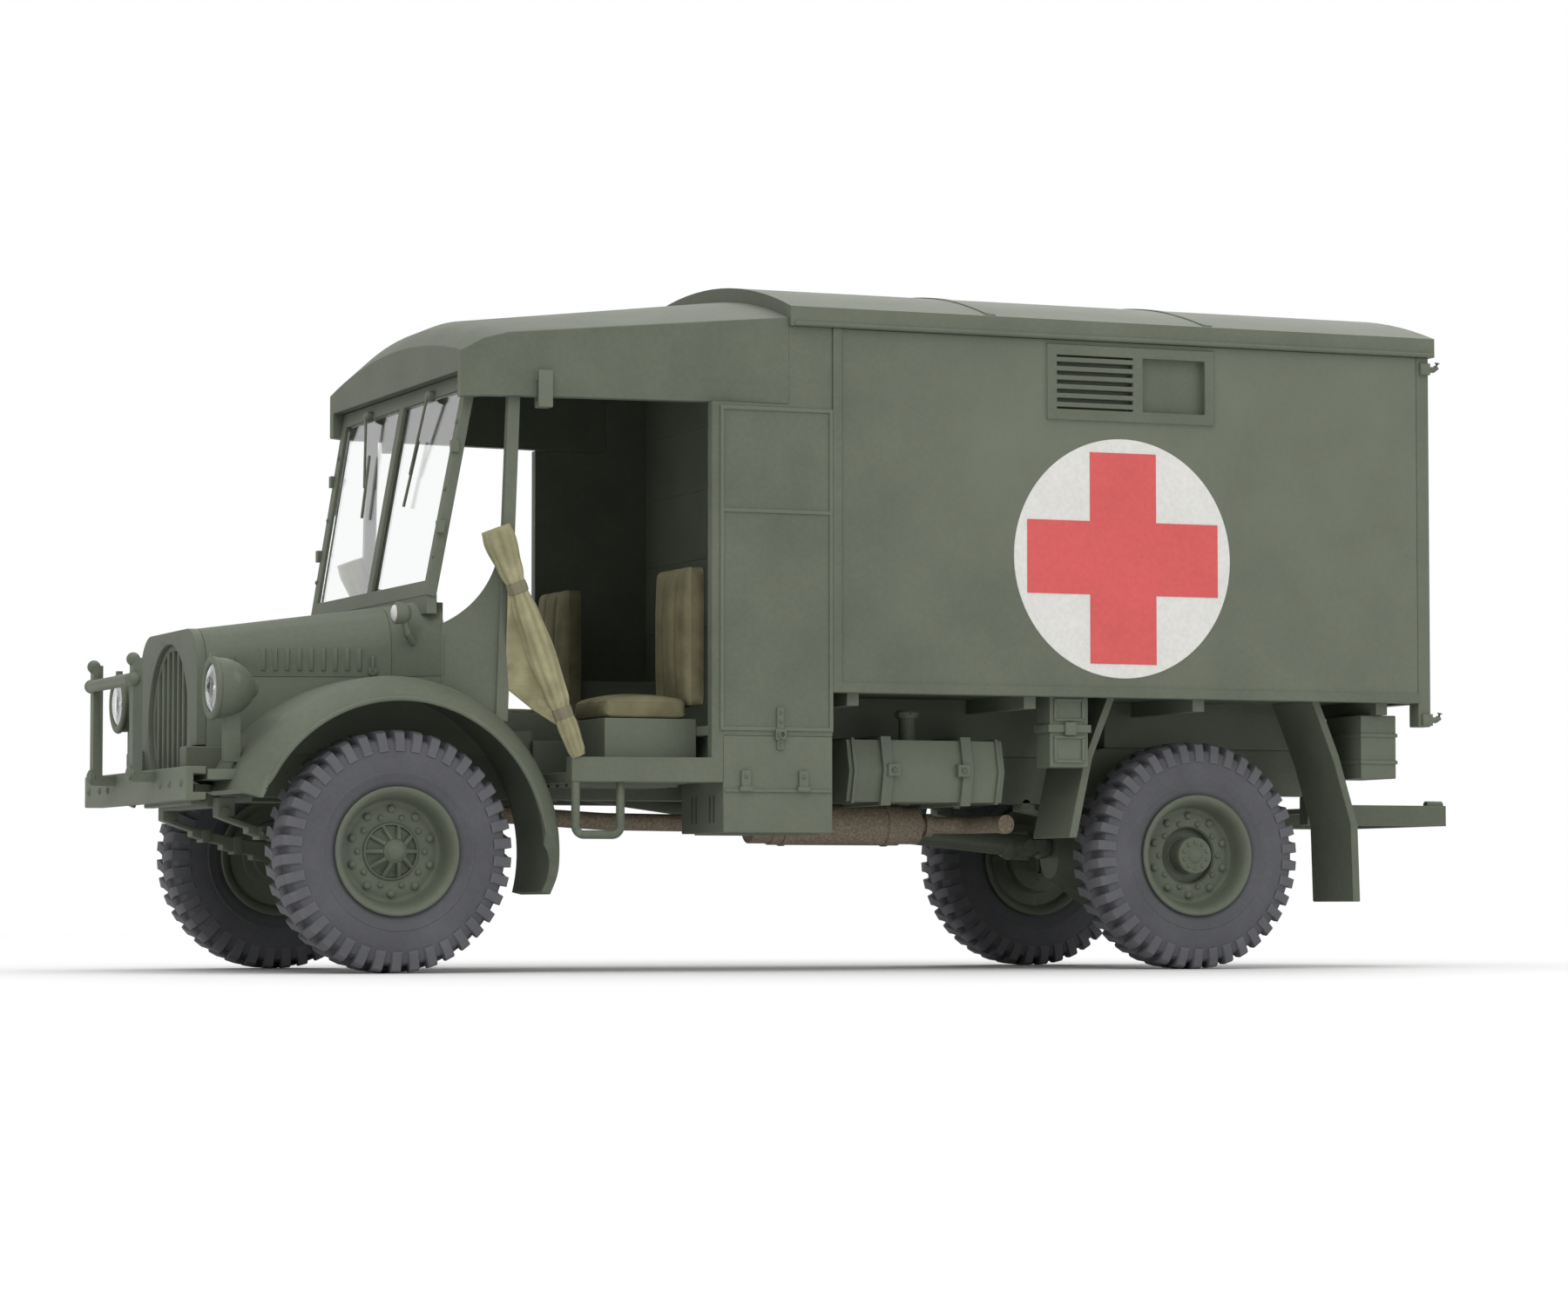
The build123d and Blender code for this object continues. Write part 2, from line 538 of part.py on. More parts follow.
def make_frame_rails():
    lifted = RAIL_REAR_LIFT
    lift_start = REAR_AXLE_Y + RAIL_LIFT_START
    lift_end = REAR_AXLE_Y + RAIL_LIFT_END
    points = [
        (RAIL_FRONT_Y, HORN_BOTTOM_Z),
        (HORN_Y, RAIL_BOTTOM_Z),
        (lift_start, RAIL_BOTTOM_Z),
        (lift_end, RAIL_BOTTOM_Z + lifted),
        (RAIL_REAR_Y, RAIL_BOTTOM_Z + lifted),
        (RAIL_REAR_Y, RAIL_TOP_Z + lifted),
        (lift_end, RAIL_TOP_Z + lifted),
        (lift_start, RAIL_TOP_Z),
        (RAIL_FRONT_Y, RAIL_TOP_Z),
    ]
    with BuildPart() as rails:
        for side in SIDES.values():
            with BuildSketch(side_plane(side * RAIL_X)):
                Polygon(*points, align=None)
            extrude(amount=RAIL_WIDTH / 2, both=True)
    save(rails, "frame_rails")


def make_cross_members():
    half = CROSS_MEMBER_DEPTH / 2
    low, high = CROSS_MEMBER_Z
    across = (-RAIL_INNER_X, RAIL_INNER_X)
    with BuildPart() as members:
        for place in CROSS_MEMBER_YS:
            lift = RAIL_REAR_LIFT if place > REAR_AXLE_Y else 0
            block(across, (place - half, place + half), (high + lift - CROSS_MEMBER_WALL, high + lift))
            web_z = (low + lift, high + lift - CROSS_MEMBER_WALL)
            for edge in (place - half, place + half - CROSS_MEMBER_WALL):
                block(across, (edge, edge + CROSS_MEMBER_WALL), web_z)
    save(members, "cross_members")


def make_front_axle():
    spring_x = RAIL_X + SPRING_WIDTH / 2 + SEAT_GAP
    bend_in, bend_out = [spring_x + share * (BEAM_END_X - spring_x) for share in BEAM_BEND]
    low = AXLE_Z - BEAM_END_HALF_DEPTH
    high = AXLE_Z + BEAM_END_HALF_DEPTH
    upper = [
        (-BEAM_END_X, high),
        (-bend_out, high),
        (-bend_in, BEAM_Z[1]),
        (bend_in, BEAM_Z[1]),
        (bend_out, high),
        (BEAM_END_X, high),
    ]
    lower = [(BEAM_END_X, low), (bend_out, BEAM_Z[0]), (-bend_out, BEAM_Z[0]), (-BEAM_END_X, low)]
    with BuildPart() as beam:
        with BuildSketch(section_plane(FRONT_AXLE_Y)):
            Polygon(*upper, *lower, align=None)
        extrude(amount=BEAM_WIDTH / 2, both=True)
    save(beam, "front_axle_beam")


def make_knuckles():
    stub_end = TRACK_FRONT / 2 + STUB_BORE_DEPTH - STUB_END_GAP
    drum_x = BEAM_END_X + KNUCKLE_LENGTH
    along = (FRONT_AXLE_Y - KNUCKLE_R, FRONT_AXLE_Y + KNUCKLE_R)
    height = (AXLE_Z - KNUCKLE_HALF_HEIGHT, AXLE_Z + KNUCKLE_HALF_HEIGHT)
    arm_y = (FRONT_AXLE_Y + KNUCKLE_R, TRACK_ROD_Y + ROD_END_R)
    with BuildPart() as knuckles:
        for side in SIDES.values():
            block((side * BEAM_END_X, side * drum_x), along, height)
            rod((side * drum_x, FRONT_AXLE_Y, AXLE_Z), (side * stub_end, FRONT_AXLE_Y, AXLE_Z), STUB_R)
            arm_x = (side * BEAM_END_X, side * (BEAM_END_X + ARM_WIDTH))
            block(arm_x, arm_y, (AXLE_Z - ARM_HALF_HEIGHT, AXLE_Z + ARM_HALF_HEIGHT))
    save(knuckles, "front_knuckles")


def make_track_rod():
    end_x = BEAM_END_X + ARM_WIDTH / 2
    with BuildPart() as track_rod:
        rod((-end_x, TRACK_ROD_Y, TRACK_ROD_Z), (end_x, TRACK_ROD_Y, TRACK_ROD_Z), TRACK_ROD_R)
        for side in SIDES.values():
            rod(
                (side * end_x, TRACK_ROD_Y, TRACK_ROD_Z - ROD_END_R),
                (side * end_x, TRACK_ROD_Y, AXLE_Z - ARM_HALF_HEIGHT),
                ROD_END_R,
            )
    save(track_rod, "track_rod")


def rail_underside(y):
    """The height of the rails' lower edge, clear of the slope where they step up."""
    return RAIL_BOTTOM_Z + (RAIL_REAR_LIFT if y > REAR_AXLE_Y else 0)


def make_springs(name, axle_y, underside_z, arc_r, half_lengths):
    """Leaf packs: each leaf is a strip of an arc, and shorter leaves lie below the long one."""
    arc_centre_z = underside_z + arc_r
    longest = half_lengths[0]
    long_leaf_r = arc_r - (len(half_lengths) - 1) * LEAF
    eye_z = arc_centre_z - (long_leaf_r**2 - longest**2) ** 0.5
    with BuildPart() as springs:
        for side in SIDES.values():
            with BuildSketch(side_plane(side * RAIL_X)):
                for row, half_length in enumerate(reversed(half_lengths)):
                    with BuildLine():
                        ends = []
                        for radius in (arc_r - row * LEAF, arc_r - (row + 1) * LEAF):
                            rise = arc_centre_z - (radius**2 - half_length**2) ** 0.5
                            foot = (axle_y, arc_centre_z - radius)
                            start = (axle_y - half_length, rise)
                            end = (axle_y + half_length, rise)
                            ThreePointArc(start, foot, end)
                            ends.append((start, end))
                        for first, second in zip(*ends):
                            Line(first, second)
                    make_face()
            extrude(amount=SPRING_WIDTH / 2, both=True)
            for end in (-1, 1):
                hanger = axle_y + end * (longest - SHACKLE_WIDTH / 2)
                across = (side * RAIL_X - SPRING_WIDTH / 2, side * RAIL_X + SPRING_WIDTH / 2)
                along = (hanger - SHACKLE_WIDTH / 2, hanger + SHACKLE_WIDTH / 2)
                block(across, along, (eye_z, rail_underside(hanger)))
    save(springs, name)


def make_rear_axle():
    stub_end = TRACK_REAR / 2 + STUB_BORE_DEPTH - STUB_END_GAP
    drum_x = TRACK_REAR / 2 - DRUM_INNER_FACE - KNUCKLE_GAP
    centre = (0, REAR_AXLE_Y, AXLE_Z)
    casing = [
        (REAR_AXLE_Y - DIFF_NOSE_LENGTH, 0),
        (REAR_AXLE_Y - DIFF_NOSE_LENGTH, DIFF_NOSE_R),
        (REAR_AXLE_Y + DIFF_RING_Y[0], DIFF_R),
        (REAR_AXLE_Y + DIFF_RING_Y[1], DIFF_R),
        (REAR_AXLE_Y + DIFF_DOME_Y, DIFF_DOME_R),
        (REAR_AXLE_Y + DIFF_DOME_Y, 0),
    ]
    with BuildPart() as axle:
        with BuildSketch(Plane(origin=(0, 0, AXLE_Z), x_dir=(0, 1, 0), z_dir=(1, 0, 0))):
            Polygon(*casing, align=None)
        revolve(axis=Axis(centre, (0, 1, 0)))
        for side in SIDES.values():
            with BuildSketch(Plane(origin=(side * TRUMPET_X[0], REAR_AXLE_Y, AXLE_Z), z_dir=(side, 0, 0))):
                Circle(TRUMPET_R)
            with BuildSketch(Plane(origin=(side * TRUMPET_X[1], REAR_AXLE_Y, AXLE_Z), z_dir=(side, 0, 0))):
                Circle(TUBE_R)
            loft(ruled=True)
            plate_x = drum_x - BACKPLATE_THICKNESS
            rod(centre, (side * plate_x, REAR_AXLE_Y, AXLE_Z), TUBE_R)
            rod((side * plate_x, REAR_AXLE_Y, AXLE_Z), (side * drum_x, REAR_AXLE_Y, AXLE_Z), BACKPLATE_R)
            rod((side * drum_x, REAR_AXLE_Y, AXLE_Z), (side * stub_end, REAR_AXLE_Y, AXLE_Z), STUB_R)
    save(axle, "rear_axle")


def make_prop_shaft():
    bearing_y = CROSS_MEMBER_YS[1]
    nose_y = REAR_AXLE_Y - DIFF_NOSE_LENGTH
    front_joint = (0, GEARBOX_REAR_Y + JOINT_LENGTH, SHAFT_FRONT_Z)
    bearing = (0, bearing_y, BEARING_Z)
    middle_joint = (0, bearing_y + CROSS_MEMBER_DEPTH, BEARING_Z)
    rear_joint = (0, nose_y - JOINT_LENGTH, REAR_JOINT_Z)
    bearing_length = CROSS_MEMBER_DEPTH - 2 * CROSS_MEMBER_WALL
    runs = (
        ((0, GEARBOX_REAR_Y, SHAFT_FRONT_Z), front_joint, "front"),
        (front_joint, bearing, "front"),
        (bearing, middle_joint, "front"),
        (middle_joint, rear_joint, "rear"),
        (rear_joint, (0, nose_y, REAR_JOINT_Z), "front"),
    )
    with BuildPart() as shaft:
        for start, end, size in runs:
            rod(start, end, SHAFT_R[size])
        for joint in (front_joint, middle_joint, rear_joint):
            with Locations(Location(joint, (0, 90, 0)), Location(joint)):
                Cylinder(SPIDER_R, 2 * JOINT_R)
            with Locations(Location(joint, (90, 0, 0))):
                Cylinder(YOKE_R, YOKE_LENGTH)
        with Locations(Location(bearing, (90, 0, 0))):
            Cylinder(BEARING_R, bearing_length)
        block((-BEARING_R, BEARING_R), (bearing_y - bearing_length / 2, bearing_y + bearing_length / 2),
              (BEARING_Z, CROSS_MEMBER_Z[1] - CROSS_MEMBER_WALL))
    save(shaft, "prop_shaft")


def make_engine():
    with BuildPart() as engine:
        block((-ENGINE_HALF_WIDTH, ENGINE_HALF_WIDTH), ENGINE_Y, ENGINE_Z)
        sump = [
            (ENGINE_Y[0], SUMP_STEP_Z),
            (FRONT_AXLE_Y - BEAM_WIDTH, SUMP_STEP_Z),
            (FRONT_AXLE_Y + BEAM_WIDTH, SUMP_Z),
            (SUMP_REAR_Y, SUMP_Z),
            (SUMP_REAR_Y, BELL_Z),
            (ENGINE_Y[0], BELL_Z),
        ]
        with BuildSketch(side_plane(0)):
            Polygon(*sump, align=None)
        extrude(amount=SUMP_HALF_WIDTH, both=True)
        rod((0, ENGINE_Y[1], BELL_Z), (0, BELL_Y, BELL_Z), BELL_R)
        block((-GEARBOX_HALF_WIDTH, GEARBOX_HALF_WIDTH), (BELL_Y, GEARBOX_REAR_Y), GEARBOX_Z)
    save(engine, "engine_gearbox")


def make_radiator():
    with BuildPart() as radiator:
        block((-RADIATOR_HALF_WIDTH, RADIATOR_HALF_WIDTH), RADIATOR_Y, RADIATOR_Z)
    save(radiator, "radiator")


def make_exhaust():
    with BuildPart() as exhaust:
        for points, bend_r in ((PIPE_POINTS, PIPE_BEND), (TAIL_POINTS, TAIL_BEND)):
            with BuildLine() as path:
                FilletPolyline(*[(x, FRONT_AXLE_Y + y, z) for x, y, z in points], radius=bend_r)
            with BuildSketch(Plane(origin=path.line @ 0, z_dir=path.line % 0)):
                Circle(PIPE_R)
            sweep(path=path.line)
        front, rear = SILENCER_Y
        for start, end, radius in (
            (front, rear, SILENCER_END_R),
            (front + SILENCER_BAND, rear - SILENCER_BAND, SILENCER_R),
        ):
            rod((SILENCER_X, start, SILENCER_Z), (SILENCER_X, end, SILENCER_Z), radius)
    save(exhaust, "exhaust")


def make_fuel_tanks():
    inner, outer = TANK_X
    low, high = TANK_Z
    middle = (low + high) / 2
    with BuildPart() as tanks:
        for side in SIDES.values():
            tank = [(inner, low), (outer, low), (outer + TANK_BULGE, middle), (outer, high), (inner, high)]
            with BuildSketch(section_plane(TANK_Y[1])):
                Polygon(*[(side * x, z) for x, z in tank], align=None)
            extrude(amount=TANK_Y[1] - TANK_Y[0])
            strap = [
                (RAIL_OUTER_X, low - STRAP),
                (outer + STRAP, low - STRAP),
                (outer + TANK_BULGE + STRAP, middle),
                (outer + STRAP, high + STRAP),
                (RAIL_OUTER_X, high + STRAP),
            ]
            for end in (TANK_Y[0] + STRAP_INSET, TANK_Y[1] - STRAP_INSET):
                with BuildSketch(section_plane(end + STRAP_WIDTH / 2)):
                    Polygon(*[(side * x, z) for x, z in strap], align=None)
                extrude(amount=STRAP_WIDTH)
        filler = ((inner + outer) / 2, sum(TANK_Y) / 2)
        rod((*filler, high), (*filler, FILLER_TOP_Z), FILLER_R)
    save(tanks, "fuel_tanks")


def make_bumper():
    across = (-BUMPER_HALF_LENGTH, BUMPER_HALF_LENGTH)
    front, rear = BUMPER_Y
    low, high = BUMPER_Z
    with BuildPart() as bumper:
        block(across, (front, front + BUMPER_WALL), BUMPER_Z)
        for edge in (low, high - BUMPER_WALL):
            block(across, (front + BUMPER_WALL, rear), (edge, edge + BUMPER_WALL))
        for x in on_both_sides((RAIL_INNER_X, RAIL_OUTER_X)):
            block(x, (front + BUMPER_WALL, RAIL_FRONT_Y), (low + BUMPER_WALL, high - BUMPER_WALL))
    save(bumper, "front_bumper")


def make_brush_guard():
    width, depth = GUARD_POST
    face = FRONT_AXLE_Y - FRONT_OVERHANG
    post_y = (face + GUARD_TUBE_R, face + GUARD_TUBE_R + depth)
    with BuildPart() as guard:
        for side in SIDES.values():
            x = (side * GUARD_POST_X - width / 2, side * GUARD_POST_X + width / 2)
            block(x, post_y, (GUARD_FOOT_Z[0], GUARD_TOP_Z))
            block(x, (post_y[0], BUMPER_Y[0]), GUARD_FOOT_Z)
        tube_y = face + GUARD_TUBE_R
        rod((-GUARD_POST_X, tube_y, GUARD_TUBE_Z), (GUARD_POST_X, tube_y, GUARD_TUBE_Z), GUARD_TUBE_R)
    save(guard, "brush_guard")


def make_wing(name, side):
    """A rounded mudguard, turned about the wheel centre, with a lip behind the bumper."""
    hub = (0, FRONT_AXLE_Y, AXLE_Z)
    crown_x = side * WING_CROWN_X
    inner_x = side * WING_INNER_X
    turned = Plane(origin=hub, x_dir=(1, 0, 0), z_dir=(0, 0, 1)).rotated((WING_REAR_ANGLE, 0, 0))
    with BuildPart() as wing:
        with BuildSketch(turned):
            with BuildLine():
                for drop in (0, SHEET):
                    edge = (side * (WING_OUTER_X - drop), WING_EDGE_R)
                    shoulder = (crown_x, WING_CROWN_R - drop)
                    Line((inner_x, WING_CROWN_R - drop), shoulder)
                    TangentArc(shoulder, edge, tangent=(side, 0))
                Line((inner_x, WING_CROWN_R), (inner_x, WING_CROWN_R - SHEET))
                Line((side * WING_OUTER_X, WING_EDGE_R), (side * (WING_OUTER_X - SHEET), WING_EDGE_R))
            make_face()
        revolve(axis=Axis(hub, (1, 0, 0)), revolution_arc=WING_FRONT_ANGLE - WING_REAR_ANGLE)
        lip_x = sorted((inner_x, side * WING_LIP_X))
        block(lip_x, WING_LIP_Y, (WING_LIP_Z, WING_LIP_Z + SHEET))
        (high_x, high_z), (low_x, low_z) = WING_TAIL
        with BuildSketch(section_plane(FRONT_AXLE_Y + WING_CROWN_R)):
            Polygon((side * high_x, high_z), (side * low_x, low_z), (side * high_x, low_z), align=None)
        extrude(amount=WING_CROWN_R, mode=Mode.SUBTRACT)
        block(lamp_post_x(side), LAMP_POST_Y, (LAMP_POST_FOOT_Z, LAMP_SEAT_Z))
    save(wing, name)


def make_nose():
    rail_top = RAIL_TOP_Z + SEAT_GAP
    with BuildPart() as nose:
        with BuildSketch(section_plane(NOSE_Y[1])):
            with Locations((0, (rail_top + NOSE_Z[1]) / 2)):
                Rectangle(2 * NOSE_HALF_WIDTH, NOSE_Z[1] - rail_top)
            fillet(top_corners(), BONNET_EDGE_R)
            with Locations((0, (NOSE_Z[0] + rail_top) / 2)):
                Rectangle(2 * (RAIL_INNER_X - SEAT_GAP), rail_top - NOSE_Z[0])
            with Locations((0, GRILLE_Z)):
                Circle(GRILLE_R, mode=Mode.SUBTRACT)
        extrude(amount=NOSE_Y[1] - NOSE_Y[0])
    save(nose, "nose_panel")


def top_corners():
    """The upper two corners of the sketch that is being drawn."""
    return vertices().group_by(Axis.Y)[-1]


def make_grille():
    pitch = 2 * GRILLE_R / (GRILLE_BARS + 1)
    with BuildPart() as grille:
        with BuildSketch(section_plane(NOSE_Y[1])):
            with Locations((0, GRILLE_Z)):
                Circle(GRILLE_R)
                Circle(GRILLE_R - GRILLE_BAR, mode=Mode.SUBTRACT)
                with GridLocations(pitch, 0, GRILLE_BARS, 1):
                    Rectangle(GRILLE_BAR, 2 * GRILLE_R)
            with Locations((0, GRILLE_Z)):
                Circle(GRILLE_R, mode=Mode.INTERSECT)
        extrude(amount=SHEET / 2)
    save(grille, "grille")


def make_bonnet():
    ends = (
        (NOSE_Y[1], BONNET_FRONT_HALF_WIDTH, BONNET_TOP_ZS[0]),
        (BONNET_REAR_Y, BONNET_REAR_HALF_WIDTH, BONNET_TOP_ZS[1]),
    )
    low = BONNET_LOW_Z
    with BuildPart() as bonnet:
        for drop, mode in ((0, Mode.ADD), (SHEET, Mode.SUBTRACT)):
            for place, half_width, high in ends:
                with BuildSketch(section_plane(place)):
                    with Locations((0, (low + high - drop) / 2)):
                        Rectangle(2 * (half_width - drop), high - low - drop)
                    fillet(top_corners(), BONNET_EDGE_R - drop)
            loft(ruled=True, mode=mode)
    save(bonnet, "bonnet")


def lamp_post_x(side):
    return (side * LAMP_X - LAMP_POST / 2, side * LAMP_X + LAMP_POST / 2)


def make_headlamps():
    with BuildPart() as lamps:
        for side in SIDES.values():
            centre = (side * LAMP_X, LAMP_FRONT_Y, LAMP_Z)
            with BuildSketch(Plane(origin=centre, x_dir=(0, 1, 0), z_dir=(1, 0, 0))):
                with BuildLine():
                    Polyline(
                        (LAMP_DEPTH, 0),
                        (LENS_DEPTH, 0),
                        (LENS_DEPTH, LAMP_R - LENS_DEPTH),
                        (0, LAMP_R - LENS_DEPTH),
                        (0, LAMP_R),
                        (LENS_DEPTH, LAMP_R),
                    )
                    TangentArc((LENS_DEPTH, LAMP_R), (LAMP_DEPTH, LAMP_BACK_R), tangent=(1, 0))
                    Line((LAMP_DEPTH, LAMP_BACK_R), (LAMP_DEPTH, 0))
                make_face()
            revolve(axis=Axis(centre, (0, 1, 0)))
            block(lamp_post_x(side), LAMP_POST_Y, (LAMP_SEAT_Z, LAMP_Z - LAMP_R / 2))
    save(lamps, "headlamps")
    with BuildPart() as lenses:
        for side in SIDES.values():
            x = side * LAMP_X
            rod((x, LAMP_FRONT_Y, LAMP_Z), (x, LAMP_FRONT_Y + LENS_DEPTH, LAMP_Z), LAMP_R - LENS_DEPTH)
    save(lenses, "headlamp_lenses")


def cab_half_width(y):
    """The cab widens from its front to the post behind the door."""
    share = min(1, (y - CAB_FRONT_Y) / (CAB_POST_Y - CAB_FRONT_Y))
    return CAB_FRONT_HALF_WIDTH + share * (BODY_HALF_WIDTH - CAB_FRONT_HALF_WIDTH)


def make_cab_floor():
    """Foot wells beside the rails, a raised floor on the rails and a tunnel over the gearbox."""
    riser = (WING_INNER_X, WING_INNER_X + SHEET)
    raised = (RAIL_TOP_Z, RAIL_TOP_Z + SHEET)
    along = (SCUTTLE_REAR_Y, CAB_POST_Y)
    with BuildPart() as floor:
        for side in SIDES.values():
            plan = [
                (side * riser[0], WELL_FRONT_Y),
                (side * (cab_half_width(WELL_FRONT_Y) - SILL_WIDTH), WELL_FRONT_Y),
                (side * (cab_half_width(CAB_POST_Y) - SILL_WIDTH), CAB_POST_Y),
                (side * riser[0], CAB_POST_Y),
            ]
            with BuildSketch(Plane.XY.offset(SILL_Z[0])):
                Polygon(*plan, align=None)
            extrude(amount=SHEET)
        for x in on_both_sides(riser):
            block(x, (WELL_FRONT_Y, CAB_POST_Y), (SILL_Z[0], raised[1]))
        width, drop = FLOOR_RIB
        rib_y = (WELL_FRONT_Y + FLOOR_RIB_INSET, CAB_POST_Y - FLOOR_RIB_INSET)
        well_width = cab_half_width(WELL_FRONT_Y) - SILL_WIDTH - riser[0]
        for rib in range(FLOOR_RIBS):
            place = riser[0] + well_width * (rib + 0.5) / FLOOR_RIBS
            for x in on_both_sides((place - width / 2, place + width / 2)):
                block(x, rib_y, (SILL_Z[0] - drop, SILL_Z[0]))
        for x in on_both_sides((TUNNEL_HALF_WIDTH, RAIL_OUTER_X)):
            block(x, along, raised)
        for x in on_both_sides((RAIL_OUTER_X, WING_INNER_X)):
            block(x, (WELL_FRONT_Y, CAB_POST_Y), raised)
        for x in on_both_sides((TUNNEL_HALF_WIDTH, TUNNEL_HALF_WIDTH + SHEET)):
            block(x, along, (raised[1], TUNNEL_TOP_Z + SHEET))
        block((-TUNNEL_HALF_WIDTH, TUNNEL_HALF_WIDTH), along, (TUNNEL_TOP_Z, TUNNEL_TOP_Z + SHEET))
        inside = BODY_HALF_WIDTH - WALL
        block((-LOCKER_INNER_X, inside), (CAB_POST_Y + WALL, BODY_Y[0]), (LOCKER_Z[1], LOCKER_Z[1] + SHEET))
        block((-inside, inside), (CAB_POST_Y, CAB_POST_Y + WALL), (LOCKER_Z[1], LOCKER_Z[1] + SHEET))
        for x in on_both_sides((RAIL_INNER_X, WING_INNER_X + SHEET)):
            block(x, (CAB_POST_Y, BODY_Y[0]), (RAIL_TOP_Z, LOCKER_Z[1]))
    save(floor, "cab_floor")


def make_scuttle():
    """The cowl between bonnet and windscreen, with the bulkhead below it."""
    ends = (
        (BONNET_REAR_Y, BONNET_REAR_HALF_WIDTH, BONNET_TOP_ZS[1]),
        (SCUTTLE_REAR_Y, SCUTTLE_HALF_WIDTH, SCUTTLE_TOP_Z),
    )
    low = BONNET_LOW_Z
    with BuildPart() as scuttle:
        for drop, mode in ((0, Mode.ADD), (SHEET, Mode.SUBTRACT)):
            for place, half_width, high in ends:
                with BuildSketch(section_plane(place)):
                    with Locations((0, (low + high - drop) / 2)):
                        Rectangle(2 * (half_width - drop), high - low - drop)
                    fillet(top_corners(), BONNET_EDGE_R - drop)
            loft(ruled=True, mode=mode)
        bulkhead_y = (SCUTTLE_REAR_Y - SHEET, SCUTTLE_REAR_Y)
        inside = SCUTTLE_HALF_WIDTH - SHEET
        block((-inside, inside), bulkhead_y, (low, SCUTTLE_TOP_Z - BONNET_EDGE_R))
        block((-TUNNEL_HALF_WIDTH, TUNNEL_HALF_WIDTH), bulkhead_y, (TUNNEL_TOP_Z + SHEET, low))
    save(scuttle, "scuttle")


def screen_plane():
    """The raked plane of the windscreen, with its origin at the middle of the lower edge."""
    rise = SCREEN_Z[1] - SCREEN_Z[0]
    rake = SCREEN_TOP_Y - SCREEN_BASE_Y
    return Plane(origin=(0, SCREEN_BASE_Y, SCREEN_Z[0]), x_dir=(1, 0, 0), z_dir=(0, -rise, rake))


def screen_panes():
    """The corners of the two panes, on the plane of the windscreen."""
    height = ((SCREEN_Z[1] - SCREEN_Z[0]) ** 2 + (SCREEN_TOP_Y - SCREEN_BASE_Y) ** 2) ** 0.5
    base, top = SCREEN_HALF_WIDTHS
    half_post = SCREEN_BAR / 2
    return height, [
        [
            (side * half_post, SCREEN_BAR),
            (side * (base - SCREEN_BAR), SCREEN_BAR),
            (side * (top - SCREEN_BAR), height - SCREEN_BAR),
            (side * half_post, height - SCREEN_BAR),
        ]
        for side in SIDES.values()
    ]


def make_windscreen():
    height, panes = screen_panes()
    base, top = SCREEN_HALF_WIDTHS
    with BuildPart() as frame:
        with BuildSketch(screen_plane()):
            Polygon((-base, 0), (base, 0), (top, height), (-top, height), align=None)
            for pane in panes:
                Polygon(*pane, align=None, mode=Mode.SUBTRACT)
        extrude(amount=-SCREEN_THICKNESS)
    save(frame, "windscreen_frame")
    with BuildPart() as glass:
        with BuildSketch(screen_plane().offset(-GLASS)):
            for pane in panes:
                Polygon(*pane, align=None)
        extrude(amount=-GLASS)
    save(glass, "windscreen_glass")


def make_cab_roof():
    sections = [
        (FRONT_AXLE_Y + place, BODY_HALF_WIDTH - inset, CANTRAIL_Z + edge, CANTRAIL_Z + crown)
        for place, inset, edge, crown in CAB_ROOF_SECTIONS
    ]
    front_y, front_half_width, *front_heights = sections[0]
    hollow = [(front_y + WALL, front_half_width, *front_heights), *sections[1:]]
    with BuildPart() as roof:
        for shape, inset, mode in ((sections, 0, Mode.ADD), (hollow, WALL, Mode.SUBTRACT)):
            for place, half_width, edge, crown in shape:
                half = half_width - inset
                high = edge - inset
                with BuildSketch(section_plane(place)):
                    with BuildLine():
                        Polyline((-half, high), (-half, CANTRAIL_Z), (half, CANTRAIL_Z), (half, high))
                        ThreePointArc((half, high), (0, crown - inset), (-half, high))
                    make_face()
            loft(ruled=True, mode=mode)
        opening = front_half_width - WALL
        screen_top = (CANTRAIL_Z, SCREEN_Z[1])
        block((-opening, opening), (front_y, front_y + WALL), screen_top, mode=Mode.SUBTRACT)
        for x in on_both_sides(ROOF_HOOK_X):
            block(x, ROOF_HOOK_Y, ROOF_HOOK_Z)
    save(roof, "cab_roof")


def make_cab_side(name, side):
    """The panel behind the door, with the sill that runs forward from it."""
    outer = side * BODY_HALF_WIDTH
    inner = side * (BODY_HALF_WIDTH - WALL)
    panel = [
        (CAB_POST_Y, SILL_Z[0]),
        (CAB_POST_Y + WALL, SILL_Z[0]),
        (CAB_POST_Y + WALL, LOCKER_Z[1]),
        (BODY_Y[0], LOCKER_Z[1]),
        (BODY_Y[0], WALL_TOP_Z),
        (ROOF_JOINT_Y, WALL_TOP_Z),
        (ROOF_JOINT_Y, CANTRAIL_Z),
        (CAB_POST_Y, CANTRAIL_Z),
    ]
    with BuildPart() as cab_side:
        with BuildSketch(side_plane(inner)):
            Polygon(*panel, align=None)
        extrude(amount=outer - inner)
        sill = [
            (side * cab_half_width(WELL_FRONT_Y), WELL_FRONT_Y),
            (outer, CAB_POST_Y),
            (side * (BODY_HALF_WIDTH - SILL_WIDTH), CAB_POST_Y),
            (side * (cab_half_width(WELL_FRONT_Y) - SILL_WIDTH), WELL_FRONT_Y),
        ]
        with BuildSketch(Plane.XY.offset(SILL_Z[0])):
            Polygon(*sill, align=None)
        extrude(amount=SILL_Z[1] - SILL_Z[0])
    save(cab_side, name)


